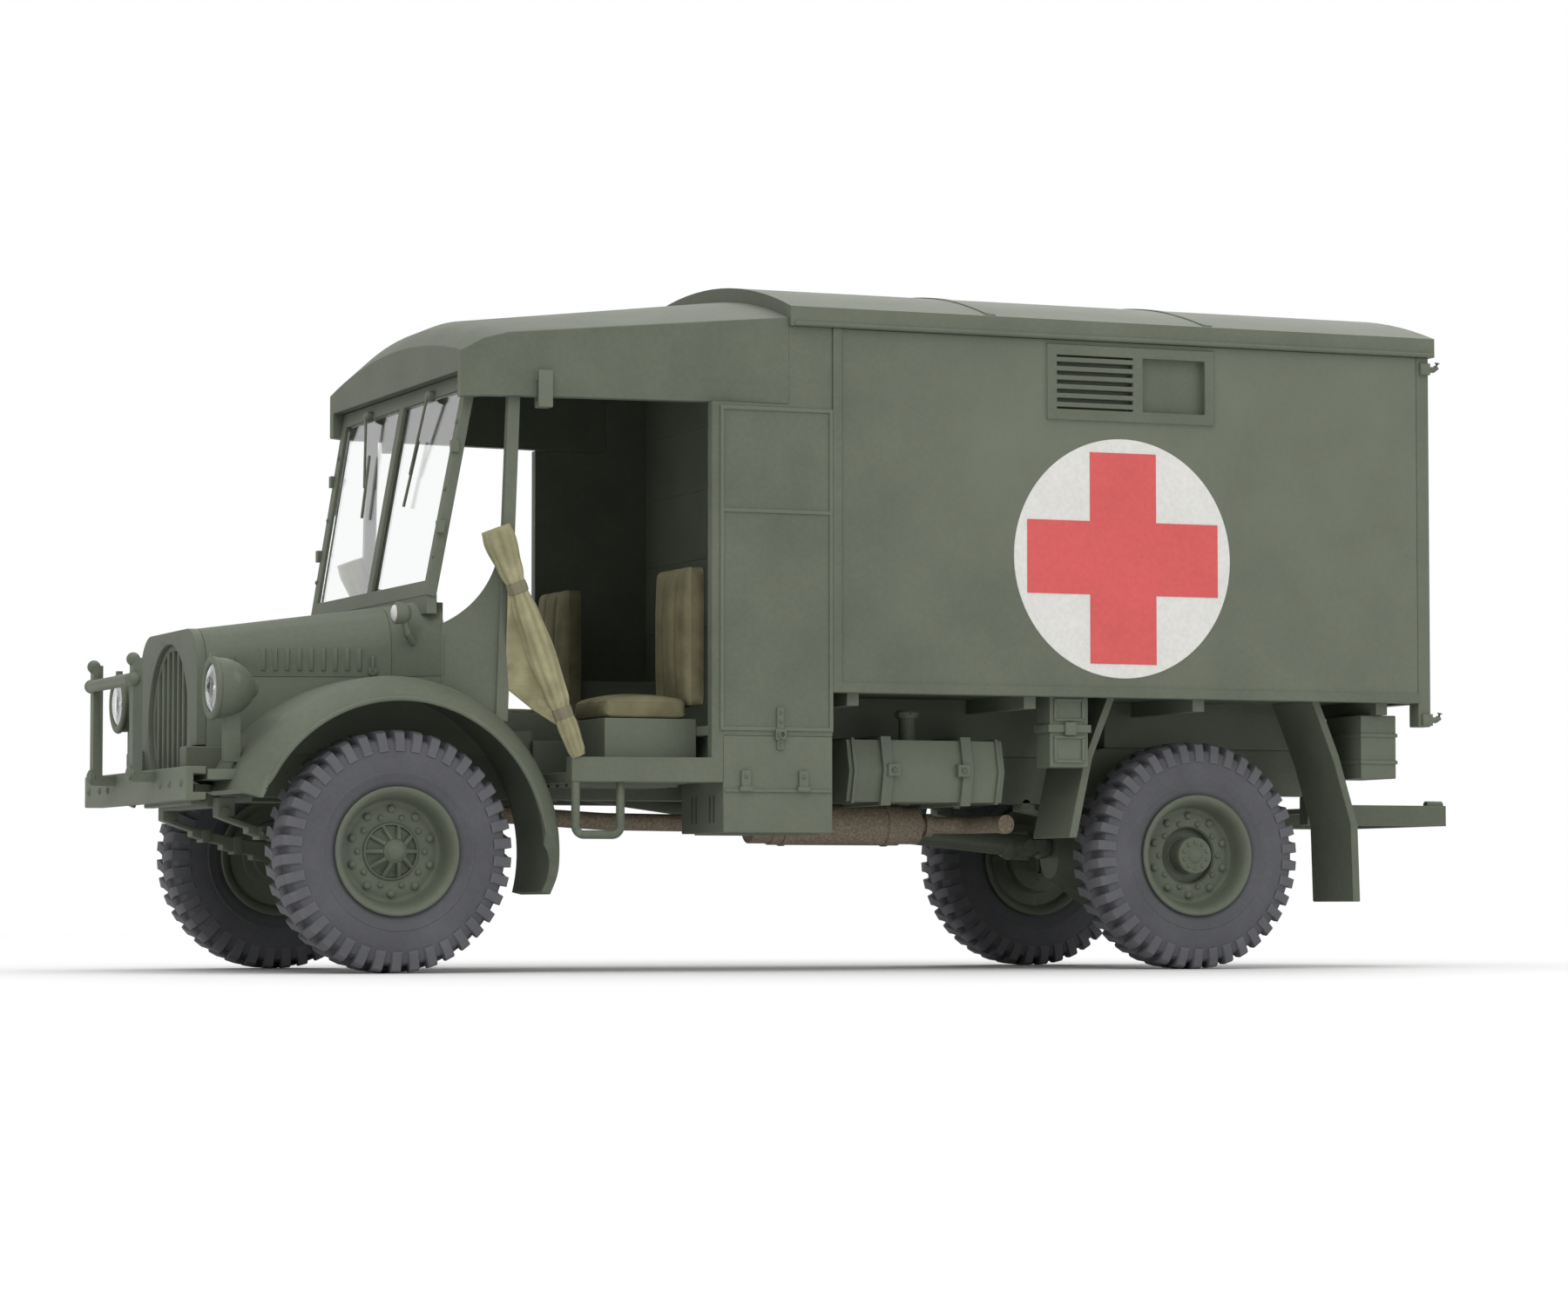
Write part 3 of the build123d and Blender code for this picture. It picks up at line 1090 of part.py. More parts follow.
def make_lockers():
    outer = BODY_HALF_WIDTH
    inner = LOCKER_INNER_X
    front, rear = LOCKER_Y
    low, high = LOCKER_Z
    front += WALL
    with BuildPart() as closed:
        block((inner, outer), (front, rear), (low, high))
    save(closed, "locker_left")
    outer -= WALL
    base, top = RIGHT_LOCKER_Z
    with BuildPart() as opened:
        block((-outer, -inner), (front, rear), RIGHT_LOCKER_Z)
        inside_x = (SHEET - outer, -inner - SHEET)
        block(inside_x, (front + SHEET, rear - SHEET), (base, top - SHEET), mode=Mode.SUBTRACT)
    save(opened, "locker_right")


def make_seats():
    front, rear = SEAT_Y
    with BuildPart() as boxes:
        for x in on_both_sides(SEAT_X):
            block(x, (front, CAB_POST_Y), (SILL_Z[0] + SHEET, SEAT_BOX_Z))
    save(boxes, "seat_boxes")
    with BuildPart() as cushions:
        for x in on_both_sides(SEAT_X):
            block(x, (front, rear), (SEAT_BOX_Z, SEAT_BOX_Z + CUSHION))
            block(x, (rear - BACKREST, rear), (SEAT_BOX_Z + CUSHION, BACKREST_TOP_Z))
    save(cushions, "seats")


def make_steering_wheel():
    hub = Vector(STEERING_X, STEERING_Y, STEERING_Z)
    foot = Vector(STEERING_X, FRONT_AXLE_Y + STEERING_FOOT_PLACE, STEERING_FOOT_Z)
    ring = Plane(origin=hub, z_dir=hub - foot)
    with BuildPart() as steering:
        rod(tuple(foot), tuple(hub), COLUMN_R)
        block((STEERING_X - COLUMN_R, STEERING_X + COLUMN_R), (SCUTTLE_REAR_Y, foot.Y + COLUMN_R),
              (foot.Z, foot.Z + 2 * COLUMN_R))
        with Locations(ring.location):
            Torus(WHEEL_RING_R, WHEEL_RING_TUBE_R)
            for turn in (0, 60, 120):
                with Locations(Rotation(0, 0, turn)):
                    Box(2 * WHEEL_RING_R, COLUMN_R, COLUMN_R)
    save(steering, "steering_wheel")


def make_canvas_rolls():
    with BuildPart() as rolls:
        for side in SIDES.values():
            top = Vector(side * (CAB_FRONT_HALF_WIDTH + ROLL_TOP_OUT), ROLL_TOP_Y, ROLL_TOP_Z)
            foot = Vector(side * (cab_half_width(WELL_FRONT_Y) - ROLL_FOOT_IN), ROLL_FOOT_Y, ROLL_FOOT_Z)
            run = top - foot
            for start, end, radii in (
                (0, 0.5, (ROLL_END_R, ROLL_MIDDLE_R)),
                (0.5, 1, (ROLL_MIDDLE_R, ROLL_END_R)),
            ):
                with BuildSketch(Plane(origin=foot + run * start, z_dir=run)):
                    Circle(radii[0])
                with BuildSketch(Plane(origin=foot + run * end, z_dir=run)):
                    Circle(radii[1])
                loft(ruled=True)
            half, depth = ROLL_SHOE
            shoe_y = (WELL_FRONT_Y, WELL_FRONT_Y + depth)
            block((foot.X - half, foot.X + half), shoe_y, (SILL_Z[1], foot.Z + half))
    save(rolls, "canvas_rolls")


def make_body_side(name, side):
    outer = side * BODY_HALF_WIDTH
    inner = side * (BODY_HALF_WIDTH - WALL)
    with BuildPart() as wall:
        block((inner, outer), (BODY_Y[0], BODY_Y[1] - REAR_FRAME_THICKNESS), (SKIRT_Z, WALL_TOP_Z))
        proud = (outer, outer + side * BEAD_PROUD)
        block(proud, (BODY_Y[0], BODY_Y[1] - REAR_FRAME_THICKNESS), (SKIRT_Z, SKIRT_Z + BEAD_WIDTH))
        block(proud, (BODY_Y[0], BODY_Y[0] + BEAD_WIDTH), (SKIRT_Z, WALL_TOP_Z))
        vent_face = (outer, outer + side * VENT_PROUD)
        block(vent_face, VENT_Y, VENT_Z)
        inside_z = (VENT_Z[0] + VENT_FRAME, VENT_Z[1] - VENT_FRAME)
        recess = (outer - side * VENT_RECESS, outer + side * VENT_PROUD)
        louvre_y = (VENT_Y[0] + VENT_FRAME, LOUVRE_Y)
        pane_y = (LOUVRE_Y + VENT_FRAME, VENT_Y[1] - VENT_FRAME)
        for inside_y in (louvre_y, pane_y):
            block(recess, inside_y, inside_z, mode=Mode.SUBTRACT)
        pitch = (inside_z[1] - inside_z[0]) / LOUVRES
        for row in range(LOUVRES):
            base = inside_z[0] + (row + 0.5) * pitch
            block(recess, louvre_y, (base - LOUVRE / 2, base + LOUVRE / 2))
    save(wall, name)


def make_body_panels():
    inside = BODY_HALF_WIDTH - WALL
    with BuildPart() as bulkhead:
        block((-inside, inside), (BODY_Y[0], BODY_Y[0] + WALL), (FLOOR_Z[1], WALL_TOP_Z))
    save(bulkhead, "body_bulkhead")
    with BuildPart() as floor:
        block((-inside, inside), (BODY_Y[0], BODY_Y[1] - REAR_FRAME_THICKNESS), FLOOR_Z)
        for place in BEARER_YS:
            block((-inside, inside), (place - BEARER_WIDTH / 2, place + BEARER_WIDTH / 2),
                  (FLOOR_Z[0] - BEARER_DROP, FLOOR_Z[0]))
        for x in on_both_sides((RAIL_INNER_X, RAIL_OUTER_X)):
            block(x, (REAR_AXLE_Y + RAIL_LIFT_END, RAIL_REAR_Y), (RAIL_TOP_Z + RAIL_REAR_LIFT, FLOOR_Z[0]))
            block(x, (BODY_Y[0], REAR_AXLE_Y + RAIL_LIFT_START), (RAIL_TOP_Z, FLOOR_Z[0]))
    save(floor, "body_floor")
    half = BODY_HALF_WIDTH + GUTTER
    hollow = inside - WALL
    hollow_y = (BODY_Y[0] + WALL, BODY_Y[1] - REAR_FRAME_THICKNESS)  # a gable closes each end
    with BuildPart() as roof:
        with BuildSketch(section_plane(BODY_Y[1] + GUTTER)):
            with BuildLine():
                Polyline((-half, ROOF_EDGE_Z), (-half, WALL_TOP_Z), (half, WALL_TOP_Z), (half, ROOF_EDGE_Z))
                ThreePointArc((half, ROOF_EDGE_Z), (0, ROOF_CROWN_Z), (-half, ROOF_EDGE_Z))
            make_face()
        extrude(amount=BODY_Y[1] + GUTTER - ROOF_JOINT_Y)
        with BuildSketch(section_plane(hollow_y[1])):
            with BuildLine():
                Line((-hollow, WALL_TOP_Z), (hollow, WALL_TOP_Z))
                ThreePointArc((hollow, WALL_TOP_Z), (0, ROOF_CROWN_Z - WALL), (-hollow, WALL_TOP_Z))
            make_face()
        extrude(amount=hollow_y[1] - hollow_y[0], mode=Mode.SUBTRACT)
    save(roof, "body_roof")


def make_rear():
    half = BODY_HALF_WIDTH
    low, high = DOORWAY_Z
    face = (BODY_Y[1] - REAR_FRAME_THICKNESS, BODY_Y[1])
    with BuildPart() as frame:
        block((-half, half), face, (SKIRT_Z, WALL_TOP_Z))
        block((-DOORWAY_HALF_WIDTH, DOORWAY_HALF_WIDTH), face, DOORWAY_Z, mode=Mode.SUBTRACT)
        for x in on_both_sides((half - CORNER_POST, half)):
            block(x, face, (CORNER_FOOT_Z, SKIRT_Z))
        for side in SIDES.values():
            pin = (side * (half - HINGE_R), BODY_Y[1] - HINGE_R)
            for z in HINGE_ZS:
                rod((*pin, z - HINGE_R), (*pin, z + HINGE_R), HINGE_R)
    save(frame, "rear_frame")
    for hand, side in SIDES.items():
        with BuildPart() as door:
            x = (side * SEAT_GAP / 2, side * (DOORWAY_HALF_WIDTH - SEAT_GAP))
            block(x, (face[1] - DOOR_THICKNESS, face[1]), (low + SEAT_GAP, high - SEAT_GAP))
            window = [side * edge for edge in DOOR_WINDOW_X]
            block(window, face, DOOR_WINDOW_Z, mode=Mode.SUBTRACT)
        save(door, f"rear_door_{hand}")
    with BuildPart() as glass:
        middle = face[1] - DOOR_THICKNESS / 2
        for x in on_both_sides(DOOR_WINDOW_X):
            block(x, (middle - GLASS / 2, middle + GLASS / 2), DOOR_WINDOW_Z)
    save(glass, "rear_door_glass")


def make_mud_flaps():
    with BuildPart() as flaps:
        for x in on_both_sides(FLAP_X):
            for line, lean in ((FLAP_FRONT, -1), (FLAP_REAR, 1)):
                face = [(REAR_AXLE_Y + y, z) for y, z in line]
                back = [(y + lean * FLAP, z) for y, z in reversed(face)]
                with BuildSketch(side_plane(x[0])):
                    Polygon(*face, *back, align=None)
                extrude(amount=x[1] - x[0])
    save(flaps, "rear_mud_flaps")


def make_under_boxes():
    with BuildPart() as boxes:
        block(CAN_X, CAN_Y, CAN_Z)
        for x in on_both_sides(CHEST_X):
            block(x, CHEST_Y, CHEST_Z)
    save(boxes, "under_boxes")


def make_step():
    rear = REAR_AXLE_Y + REAR_OVERHANG
    low, high = STEP_Z
    with BuildPart() as step:
        for x in on_both_sides((STEP_HALF_WIDTH - STEP_BAR, STEP_HALF_WIDTH)):
            block(x, (STEP_HANGER_Y[0], rear), STEP_Z)
            block(x, STEP_HANGER_Y, (high, RAIL_BOTTOM_Z + RAIL_REAR_LIFT))
        inside = (STEP_BAR - STEP_HALF_WIDTH, STEP_HALF_WIDTH - STEP_BAR)
        block(inside, (rear - STEP_BAR / 2, rear), (low, high))
        block(inside, (STEP_TREAD_Y, STEP_TREAD_Y + STEP_TREAD_DEPTH), (high - STEP_TREAD, high))
    save(step, "rear_step")


def make_stirrups():
    front, rear = STIRRUP_Y
    low, high = STIRRUP_Z
    with BuildPart() as stirrups:
        for side in SIDES.values():
            x = side * (cab_half_width((front + rear) / 2) - SILL_WIDTH / 2)
            with BuildLine() as path:
                FilletPolyline(
                    (x, front, high),
                    (x, front, low),
                    (x, rear, low),
                    (x, rear, high),
                    radius=2 * STIRRUP_R,
                )
            with BuildSketch(Plane(origin=path.line @ 0, z_dir=path.line % 0)):
                Circle(STIRRUP_R)
            sweep(path=path.line)
    save(stirrups, "cab_stirrups")


def make_small_lamps():
    with BuildPart() as lamps:
        for side in SIDES.values():
            x = side * TAIL_LAMP_X
            rod((x, BODY_Y[1], TAIL_LAMP_Z), (x, BODY_Y[1] + SHEET, TAIL_LAMP_Z), TAIL_LAMP_R)
    save(lamps, "tail_lamps")


def main():
    for name, (side, track, axle_y, hub) in WHEELS.items():
        centre = wheel_centre(side, track, axle_y)
        make_tyre(name, side, centre)
        make_rim(name, side, centre, hub)
    make_frame_rails()
    make_cross_members()
    make_front_axle()
    make_knuckles()
    make_track_rod()
    for name, sizes in SPRINGS.items():
        make_springs(name, *sizes)
    make_rear_axle()
    make_prop_shaft()
    make_engine()
    make_radiator()
    make_exhaust()
    make_fuel_tanks()
    make_bumper()
    make_brush_guard()
    for hand, side in SIDES.items():
        make_wing(f"front_wing_{hand}", side)
    make_nose()
    make_grille()
    make_bonnet()
    make_headlamps()
    make_cab_floor()
    make_scuttle()
    make_windscreen()
    make_cab_roof()
    make_lockers()
    make_seats()
    make_steering_wheel()
    make_canvas_rolls()
    make_body_panels()
    for hand, side in SIDES.items():
        make_cab_side(f"cab_side_{hand}", side)
        make_body_side(f"body_side_{hand}", side)
    make_rear()
    make_mud_flaps()
    make_under_boxes()
    make_step()
    make_stirrups()
    make_small_lamps()


main()
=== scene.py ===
"""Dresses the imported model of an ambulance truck: paint, markings, fine fittings, light and camera.

Sizes are in millimetres, as in the part's source, and are scaled to metres where a mesh is made.
"""

import json
import math

import bmesh
import bpy
from mathutils import Matrix, Vector


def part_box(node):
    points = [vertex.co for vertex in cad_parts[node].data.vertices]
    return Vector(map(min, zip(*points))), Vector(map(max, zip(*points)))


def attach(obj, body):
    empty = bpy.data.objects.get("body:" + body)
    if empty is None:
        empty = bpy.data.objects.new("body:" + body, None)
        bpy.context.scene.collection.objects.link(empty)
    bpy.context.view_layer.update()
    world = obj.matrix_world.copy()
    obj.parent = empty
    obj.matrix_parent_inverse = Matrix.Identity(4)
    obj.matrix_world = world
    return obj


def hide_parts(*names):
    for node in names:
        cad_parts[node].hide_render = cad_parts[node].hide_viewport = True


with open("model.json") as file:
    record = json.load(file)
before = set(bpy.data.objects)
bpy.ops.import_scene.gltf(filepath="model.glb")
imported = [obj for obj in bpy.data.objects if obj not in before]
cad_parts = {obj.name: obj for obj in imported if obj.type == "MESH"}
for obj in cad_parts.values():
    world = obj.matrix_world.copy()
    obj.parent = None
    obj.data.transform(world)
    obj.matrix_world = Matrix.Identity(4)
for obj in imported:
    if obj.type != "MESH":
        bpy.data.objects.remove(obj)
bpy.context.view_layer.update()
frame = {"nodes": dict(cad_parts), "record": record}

MM = 0.001
SIDES = {"left": 1, "right": -1}
WHEELS = ("front_left", "front_right", "rear_left", "rear_right")
TRUCK = "truck"
FORWARD = (0, -1, 0)
BACKWARD = (0, 1, 0)
UP = (0, 0, 1)
DOWN = (0, 0, -1)
OUTWARD = (1, 0, 0)  # on the left side


def corners(node):
    """Lowest and highest corner of a CAD node, in millimetres."""
    low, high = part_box(node)
    return low / MM, high / MM


def centre_of(node):
    low, high = corners(node)
    return (low + high) / 2


FRONT_Y = centre_of("wheel_front_left").y
REAR_Y = centre_of("wheel_rear_left").y
AXLE_Z = centre_of("wheel_front_left").z
BODY_X = corners("rear_frame")[1].x  # the outer face of the body's walls
BODY_REAR_Y = corners("rear_frame")[1].y


def behind_front(x, y, z):
    """A point whose place along the truck is measured back from the front axle."""
    return Vector((x, FRONT_Y + y, z))


def behind_rear(x, y, z):
    """A point whose place along the truck is measured back from the rear axle."""
    return Vector((x, REAR_Y + y, z))


# Materials

COLOUR_A, COLOUR_B, COLOUR_RESULT = 6, 7, 2  # sockets of the Mix node that carry colours
PATCH_SCALE = 170.0
SPECK_SCALE = 2600.0
SPECK_SHARE = 0.55
PAINT_TOOTH = 0.05 * MM
RUST_TOOTH = 0.06 * MM


def new_material(name):
    """A new material with its node tree, its shader and its object coordinates."""
    material = bpy.data.materials.new(name)
    material.use_nodes = True
    tree = material.node_tree
    shader = tree.nodes["Principled BSDF"]
    coordinates = tree.nodes.new("ShaderNodeTexCoord").outputs["Object"]
    return material, tree, shader, coordinates


def noise(tree, coordinates, scale, detail=4.0, roughness=0.55):
    texture = tree.nodes.new("ShaderNodeTexNoise")
    texture.inputs["Scale"].default_value = scale
    texture.inputs["Detail"].default_value = detail
    texture.inputs["Roughness"].default_value = roughness
    tree.links.new(coordinates, texture.inputs["Vector"])
    return texture.outputs["Fac"]


def ramp(tree, factor, stops):
    """A colour ramp over (position, colour) stops."""
    node = tree.nodes.new("ShaderNodeValToRGB")
    elements = node.color_ramp.elements
    while len(elements) < len(stops):
        elements.new(0.5)
    for element, (position, colour) in zip(elements, stops):
        element.position = position
        element.color = (*colour, 1.0)
    tree.links.new(factor, node.inputs["Fac"])
    return node.outputs["Color"]


def mix(tree, factor, first, second, blend="MIX"):
    """Two colours mixed by a factor. Each of the three is a value or a socket."""
    node = tree.nodes.new("ShaderNodeMix")
    node.data_type = "RGBA"
    node.blend_type = blend
    sockets = (node.inputs["Factor"], node.inputs[COLOUR_A], node.inputs[COLOUR_B])
    for value, socket in zip((factor, first, second), sockets):
        if isinstance(value, bpy.types.NodeSocket):
            tree.links.new(value, socket)
        else:
            socket.default_value = value
    return node.outputs[COLOUR_RESULT]


def bump(tree, shader, height, strength, distance):
    node = tree.nodes.new("ShaderNodeBump")
    node.inputs["Strength"].default_value = strength
    node.inputs["Distance"].default_value = distance
    tree.links.new(height, node.inputs["Height"])
    tree.links.new(node.outputs["Normal"], shader.inputs["Normal"])


def set_gloss(shader, roughness, specular):
    shader.inputs["Roughness"].default_value = roughness
    shader.inputs["Specular IOR Level"].default_value = specular


def shade(colour, amount):
    return tuple(channel * amount for channel in colour)


def grey(level):
    return (level, level, level)


def paint(name, colour, roughness=0.62, patch=0.10, edge=0.35, grain=0.10):
    """Brushed or sprayed model paint: soft patches, a fine tooth, and convex edges painted lighter, partly
    as rubbed paint and partly as painted highlight.
    """
    material, tree, shader, coordinates = new_material(name)
    patches = noise(tree, coordinates, PATCH_SCALE)
    base = ramp(tree, patches, ((0.32, shade(colour, 1 - patch)), (0.68, shade(colour, 1 + patch))))
    specks = noise(tree, coordinates, SPECK_SCALE, detail=2.0)
    speckled = ramp(tree, specks, ((0.35, grey(0.86)), (0.65, grey(1.0))))
    base = mix(tree, SPECK_SHARE, base, mix(tree, 1.0, base, speckled, "MULTIPLY"))
    geometry = tree.nodes.new("ShaderNodeNewGeometry")
    # Convex edges, found by pointiness, are painted lighter: partly rubbed paint, partly painted highlight.
    highlit_and_worn_edges = ramp(tree, geometry.outputs["Pointiness"], ((0.52, grey(0.0)), (0.62, grey(edge))))
    highlit_and_worn_colour = tuple(channel * 1.5 + 0.012 for channel in colour)
    base = mix(tree, highlit_and_worn_edges, base, (*highlit_and_worn_colour, 1.0))
    tree.links.new(base, shader.inputs["Base Color"])
    set_gloss(shader, roughness, 0.32)
    bump(tree, shader, specks, grain, PAINT_TOOTH)
    return material


def rust_paint(name):
    """Rust-brown paint stippled with darker and lighter specks."""
    material, tree, shader, coordinates = new_material(name)
    specks = noise(tree, coordinates, 4200.0, detail=3.0, roughness=0.7)
    stops = ((0.34, (0.175, 0.140, 0.102)), (0.52, (0.250, 0.205, 0.150)), (0.68, (0.340, 0.285, 0.215)))
    tree.links.new(ramp(tree, specks, stops), shader.inputs["Base Color"])
    set_gloss(shader, 0.7, 0.25)
    bump(tree, shader, specks, 0.35, RUST_TOOTH)
    return material


def canvas_paint(name, colour):
    """Moulded canvas: a fine weave, with painted shade darkening the folds."""
    material, tree, shader, coordinates = new_material(name)
    weaves = []
    for direction in ("X", "Z"):
        wave = tree.nodes.new("ShaderNodeTexWave")
        wave.bands_direction = direction
        wave.inputs["Scale"].default_value = 900.0
        wave.inputs["Distortion"].default_value = 1.5
        tree.links.new(coordinates, wave.inputs["Vector"])
        weaves.append(wave.outputs["Fac"])
    patches = noise(tree, coordinates, 420.0)
    base = ramp(tree, patches, ((0.3, shade(colour, 0.72)), (0.7, shade(colour, 1.16))))
    geometry = tree.nodes.new("ShaderNodeNewGeometry")
    # Painted shade: hollows, found by pointiness, are darkened.
    fold_shade_stops = ((0.44, (0.45, 0.42, 0.36)), (0.52, grey(1.0)))
    folds = ramp(tree, geometry.outputs["Pointiness"], fold_shade_stops)
    base = mix(tree, 1.0, base, folds, "MULTIPLY")
    tree.links.new(base, shader.inputs["Base Color"])
    set_gloss(shader, 0.85, 0.15)
    weave = tree.nodes.new("ShaderNodeMath")
    weave.operation = "MULTIPLY"
    for value, socket in zip(weaves, weave.inputs):
        tree.links.new(value, socket)
    bump(tree, shader, weave.outputs["Value"], 0.3, PAINT_TOOTH)
    return material


def clear_plastic(name, tint):
    """Clear moulded plastic with faint haze."""
    material, tree, shader, coordinates = new_material(name)
    haze = noise(tree, coordinates, 260.0)
    tree.links.new(ramp(tree, haze, ((0.3, grey(0.0)), (0.7, grey(0.03)))), shader.inputs["Roughness"])
    shader.inputs["Base Color"].default_value = (*tint, 1.0)
    shader.inputs["Transmission Weight"].default_value = 1.0
    shader.inputs["IOR"].default_value = 1.46
    return material


def silver_paint(name):
    """Bright paint behind a lamp lens."""
    material, tree, shader, coordinates = new_material(name)
    flakes = noise(tree, coordinates, 7000.0, detail=2.0)
    stops = ((0.3, (0.58, 0.59, 0.60)), (0.7, (0.74, 0.75, 0.76)))
    tree.links.new(ramp(tree, flakes, stops), shader.inputs["Base Color"])
    shader.inputs["Metallic"].default_value = 0.8
    shader.inputs["Roughness"].default_value = 0.3
    return material


OLIVE_COLOUR = (0.116, 0.131, 0.096)
olive = paint("olive_paint", OLIVE_COLOUR)
# Olive darkened to a painted shade, used for thin plates that stand in for the shaded insides of slots.
olive_shadow = paint("olive_painted_shade", shade(OLIVE_COLOUR, 0.42), patch=0.06, edge=0.0)
rubber = paint("tyre_paint", (0.096, 0.097, 0.106), roughness=0.78, patch=0.14, edge=0.55, grain=0.22)
seat_paint = canvas_paint("seat_cover", (0.205, 0.190, 0.112))
exhaust_rust = rust_paint("exhaust_rust")
khaki = canvas_paint("canvas_khaki", (0.360, 0.343, 0.205))
strap_paint = paint("strap_paint", (0.200, 0.182, 0.120), roughness=0.8)
white_paint = paint("marking_white", (0.74, 0.735, 0.70), roughness=0.5, patch=0.03, edge=0.0, grain=0.04)
red_paint = paint("marking_red", (0.67, 0.105, 0.100), roughness=0.5, patch=0.05, edge=0.0, grain=0.04)
lamp_red = paint("tail_lamp_red", (0.32, 0.012, 0.010), roughness=0.2, patch=0.08, edge=0.2, grain=0.0)
clear = clear_plastic("clear_plastic", (0.93, 0.95, 0.94))
silver = silver_paint("lamp_silver")
lens_white = paint("side_lamp_white", (0.70, 0.70, 0.68), roughness=0.25, patch=0.05, edge=0.0, grain=0.0)

SLOT_MATERIALS = {
    "olive": olive,
    "tyre": rubber,
    "exhaust": exhaust_rust,
    "canvas": khaki,
    "seat": seat_paint,
    "glass": clear,
    "red_lamp": lamp_red,
}


# CAD nodes: material by the record's slot, and softened moulded edges

SOFT_EDGE = 0.09
TRIM_EDGE = 0.04  # small fittings have finer edges
FINE_EDGE = 0.03
SHARP_ANGLE = math.radians(32)
WELD_GAP = 0.002
UNSOFTENED = ("glass",)


def smooth_group():
    """A modifier that shades every face smooth, so that weighted normals can keep flats flat."""
    group = bpy.data.node_groups.new("smooth_faces", "GeometryNodeTree")
    group.interface.new_socket("Geometry", in_out="INPUT", socket_type="NodeSocketGeometry")
    group.interface.new_socket("Geometry", in_out="OUTPUT", socket_type="NodeSocketGeometry")
    start = group.nodes.new("NodeGroupInput")
    smooth = group.nodes.new("GeometryNodeSetShadeSmooth")
    end = group.nodes.new("NodeGroupOutput")
    group.links.new(start.outputs[0], smooth.inputs["Geometry"])
    group.links.new(smooth.outputs["Geometry"], end.inputs[0])
    return group


SMOOTH_FACES = smooth_group()


def soften(piece, width=SOFT_EDGE):
    """Rounds the edges a little and shades the curved faces smooth, by modifiers alone."""
    weld = piece.modifiers.new("weld", "WELD")
    weld.merge_threshold = WELD_GAP * MM
    smooth = piece.modifiers.new("smooth", "NODES")
    smooth.node_group = SMOOTH_FACES
    bevel = piece.modifiers.new("bevel", "BEVEL")
    bevel.width = width * MM
    bevel.segments = 2
    bevel.limit_method = "ANGLE"
    bevel.angle_limit = SHARP_ANGLE
    bevel.use_clamp_overlap = True
    normals = piece.modifiers.new("normals", "WEIGHTED_NORMAL")
    normals.weight = 60


def dress_nodes():
    for part in frame["record"]["subparts"]:
        node = frame["nodes"][part["node"]]
        node.data.materials.clear()
        node.data.materials.append(SLOT_MATERIALS[part["material_slot"]])
        if part["material_slot"] not in UNSOFTENED:
            soften(node)


# Mesh helpers: all points in millimetres

SUNK = 0.05  # how far a fitting reaches into the face it stands on
HEXAGON = 6  # segments of a nut or a bolt head
SAME_POINT = 1e-5
FADED_END = 0.25  # steps into its fade at which a tube starts, so that it has no sharp point
BALL_STEPS = 10
DOME_CURVE = ((0.0, 1.0), (0.35, 0.98), (0.68, 0.82), (0.90, 0.50), (0.98, 0.22))  # (height, radius) shares
BOX_FACES = ((0, 1, 3, 2), (4, 6, 7, 5), (0, 4, 5, 1), (2, 3, 7, 6), (0, 2, 6, 4), (1, 5, 7, 3))


def finish_piece(name, mesh, material=olive, body=TRUCK, soft=0.0):
    """Turns a mesh in millimetres into a piece that rides on a body."""
    bmesh.ops.remove_doubles(mesh, verts=mesh.verts, dist=SAME_POINT)
    bmesh.ops.recalc_face_normals(mesh, faces=mesh.faces)
    bmesh.ops.scale(mesh, vec=(MM, MM, MM), verts=mesh.verts)
    data = bpy.data.meshes.new(name)
    mesh.to_mesh(data)
    mesh.free()
    data.materials.append(material)
    piece = bpy.data.objects.new(name, data)
    bpy.context.collection.objects.link(piece)
    if soft:
        soften(piece, soft)
    else:
        data.shade_smooth()
        data.set_sharp_from_angle(angle=SHARP_ANGLE)
    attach(piece, body)
    return piece


def around(middle, half):
    """The span that reaches half its size to either side of a middle."""
    return (middle - half, middle + half)


def evenly(first, last, steps):
    """Evenly spaced values, both ends included."""
    return [first + (last - first) * step / steps for step in range(steps + 1)]


def turns(count, start=0.0):
    """Angles spaced evenly round a circle. The first is turned by a share of the spacing."""
    return [2 * math.pi * (step + start) / count for step in range(count)]


def on_line(line, second):
    """First value on the straight line through two points, where the second value is given."""
    (a0, b0), (a1, b1) = line
    return a0 + (second - b0) * (a1 - a0) / (b1 - b0)


def axis_frame(axis):
    """Two unit vectors across an axis."""
    axis = Vector(axis).normalized()
    helper = Vector(UP) if abs(axis.z) < 0.9 else Vector(BACKWARD)
    across = axis.cross(helper).normalized()
    return across, axis.cross(across)


def ring_points(middle, across, up, radius, segments):
    """Points round a circle in the plane of two unit vectors."""
    return [middle + (across * math.cos(a) + up * math.sin(a)) * radius for a in turns(segments)]


def add_box(mesh, low, high):
    """A box between two corners."""
    xs, ys, zs = zip(low, high)
    verts = [mesh.verts.new((x, y, z)) for x in xs for y in ys for z in zs]
    for face in BOX_FACES:
        mesh.faces.new([verts[index] for index in face])


def add_block(mesh, centre, half):
    """A box about a centre, by half its size."""
    add_box(mesh, Vector(centre) - Vector(half), Vector(centre) + Vector(half))


def add_spans(mesh, x, y, z):
    """A box by its spans along x, y and z."""
    add_box(mesh, (x[0], y[0], z[0]), (x[1], y[1], z[1]))


def add_wall_box(mesh, y, z, proud, sunk=SUNK):
    """A box on the body's left side, by its span back from the front axle and its heights."""
    add_spans(mesh, (BODY_X - sunk, BODY_X + proud), (FRONT_Y + y[0], FRONT_Y + y[1]), z)


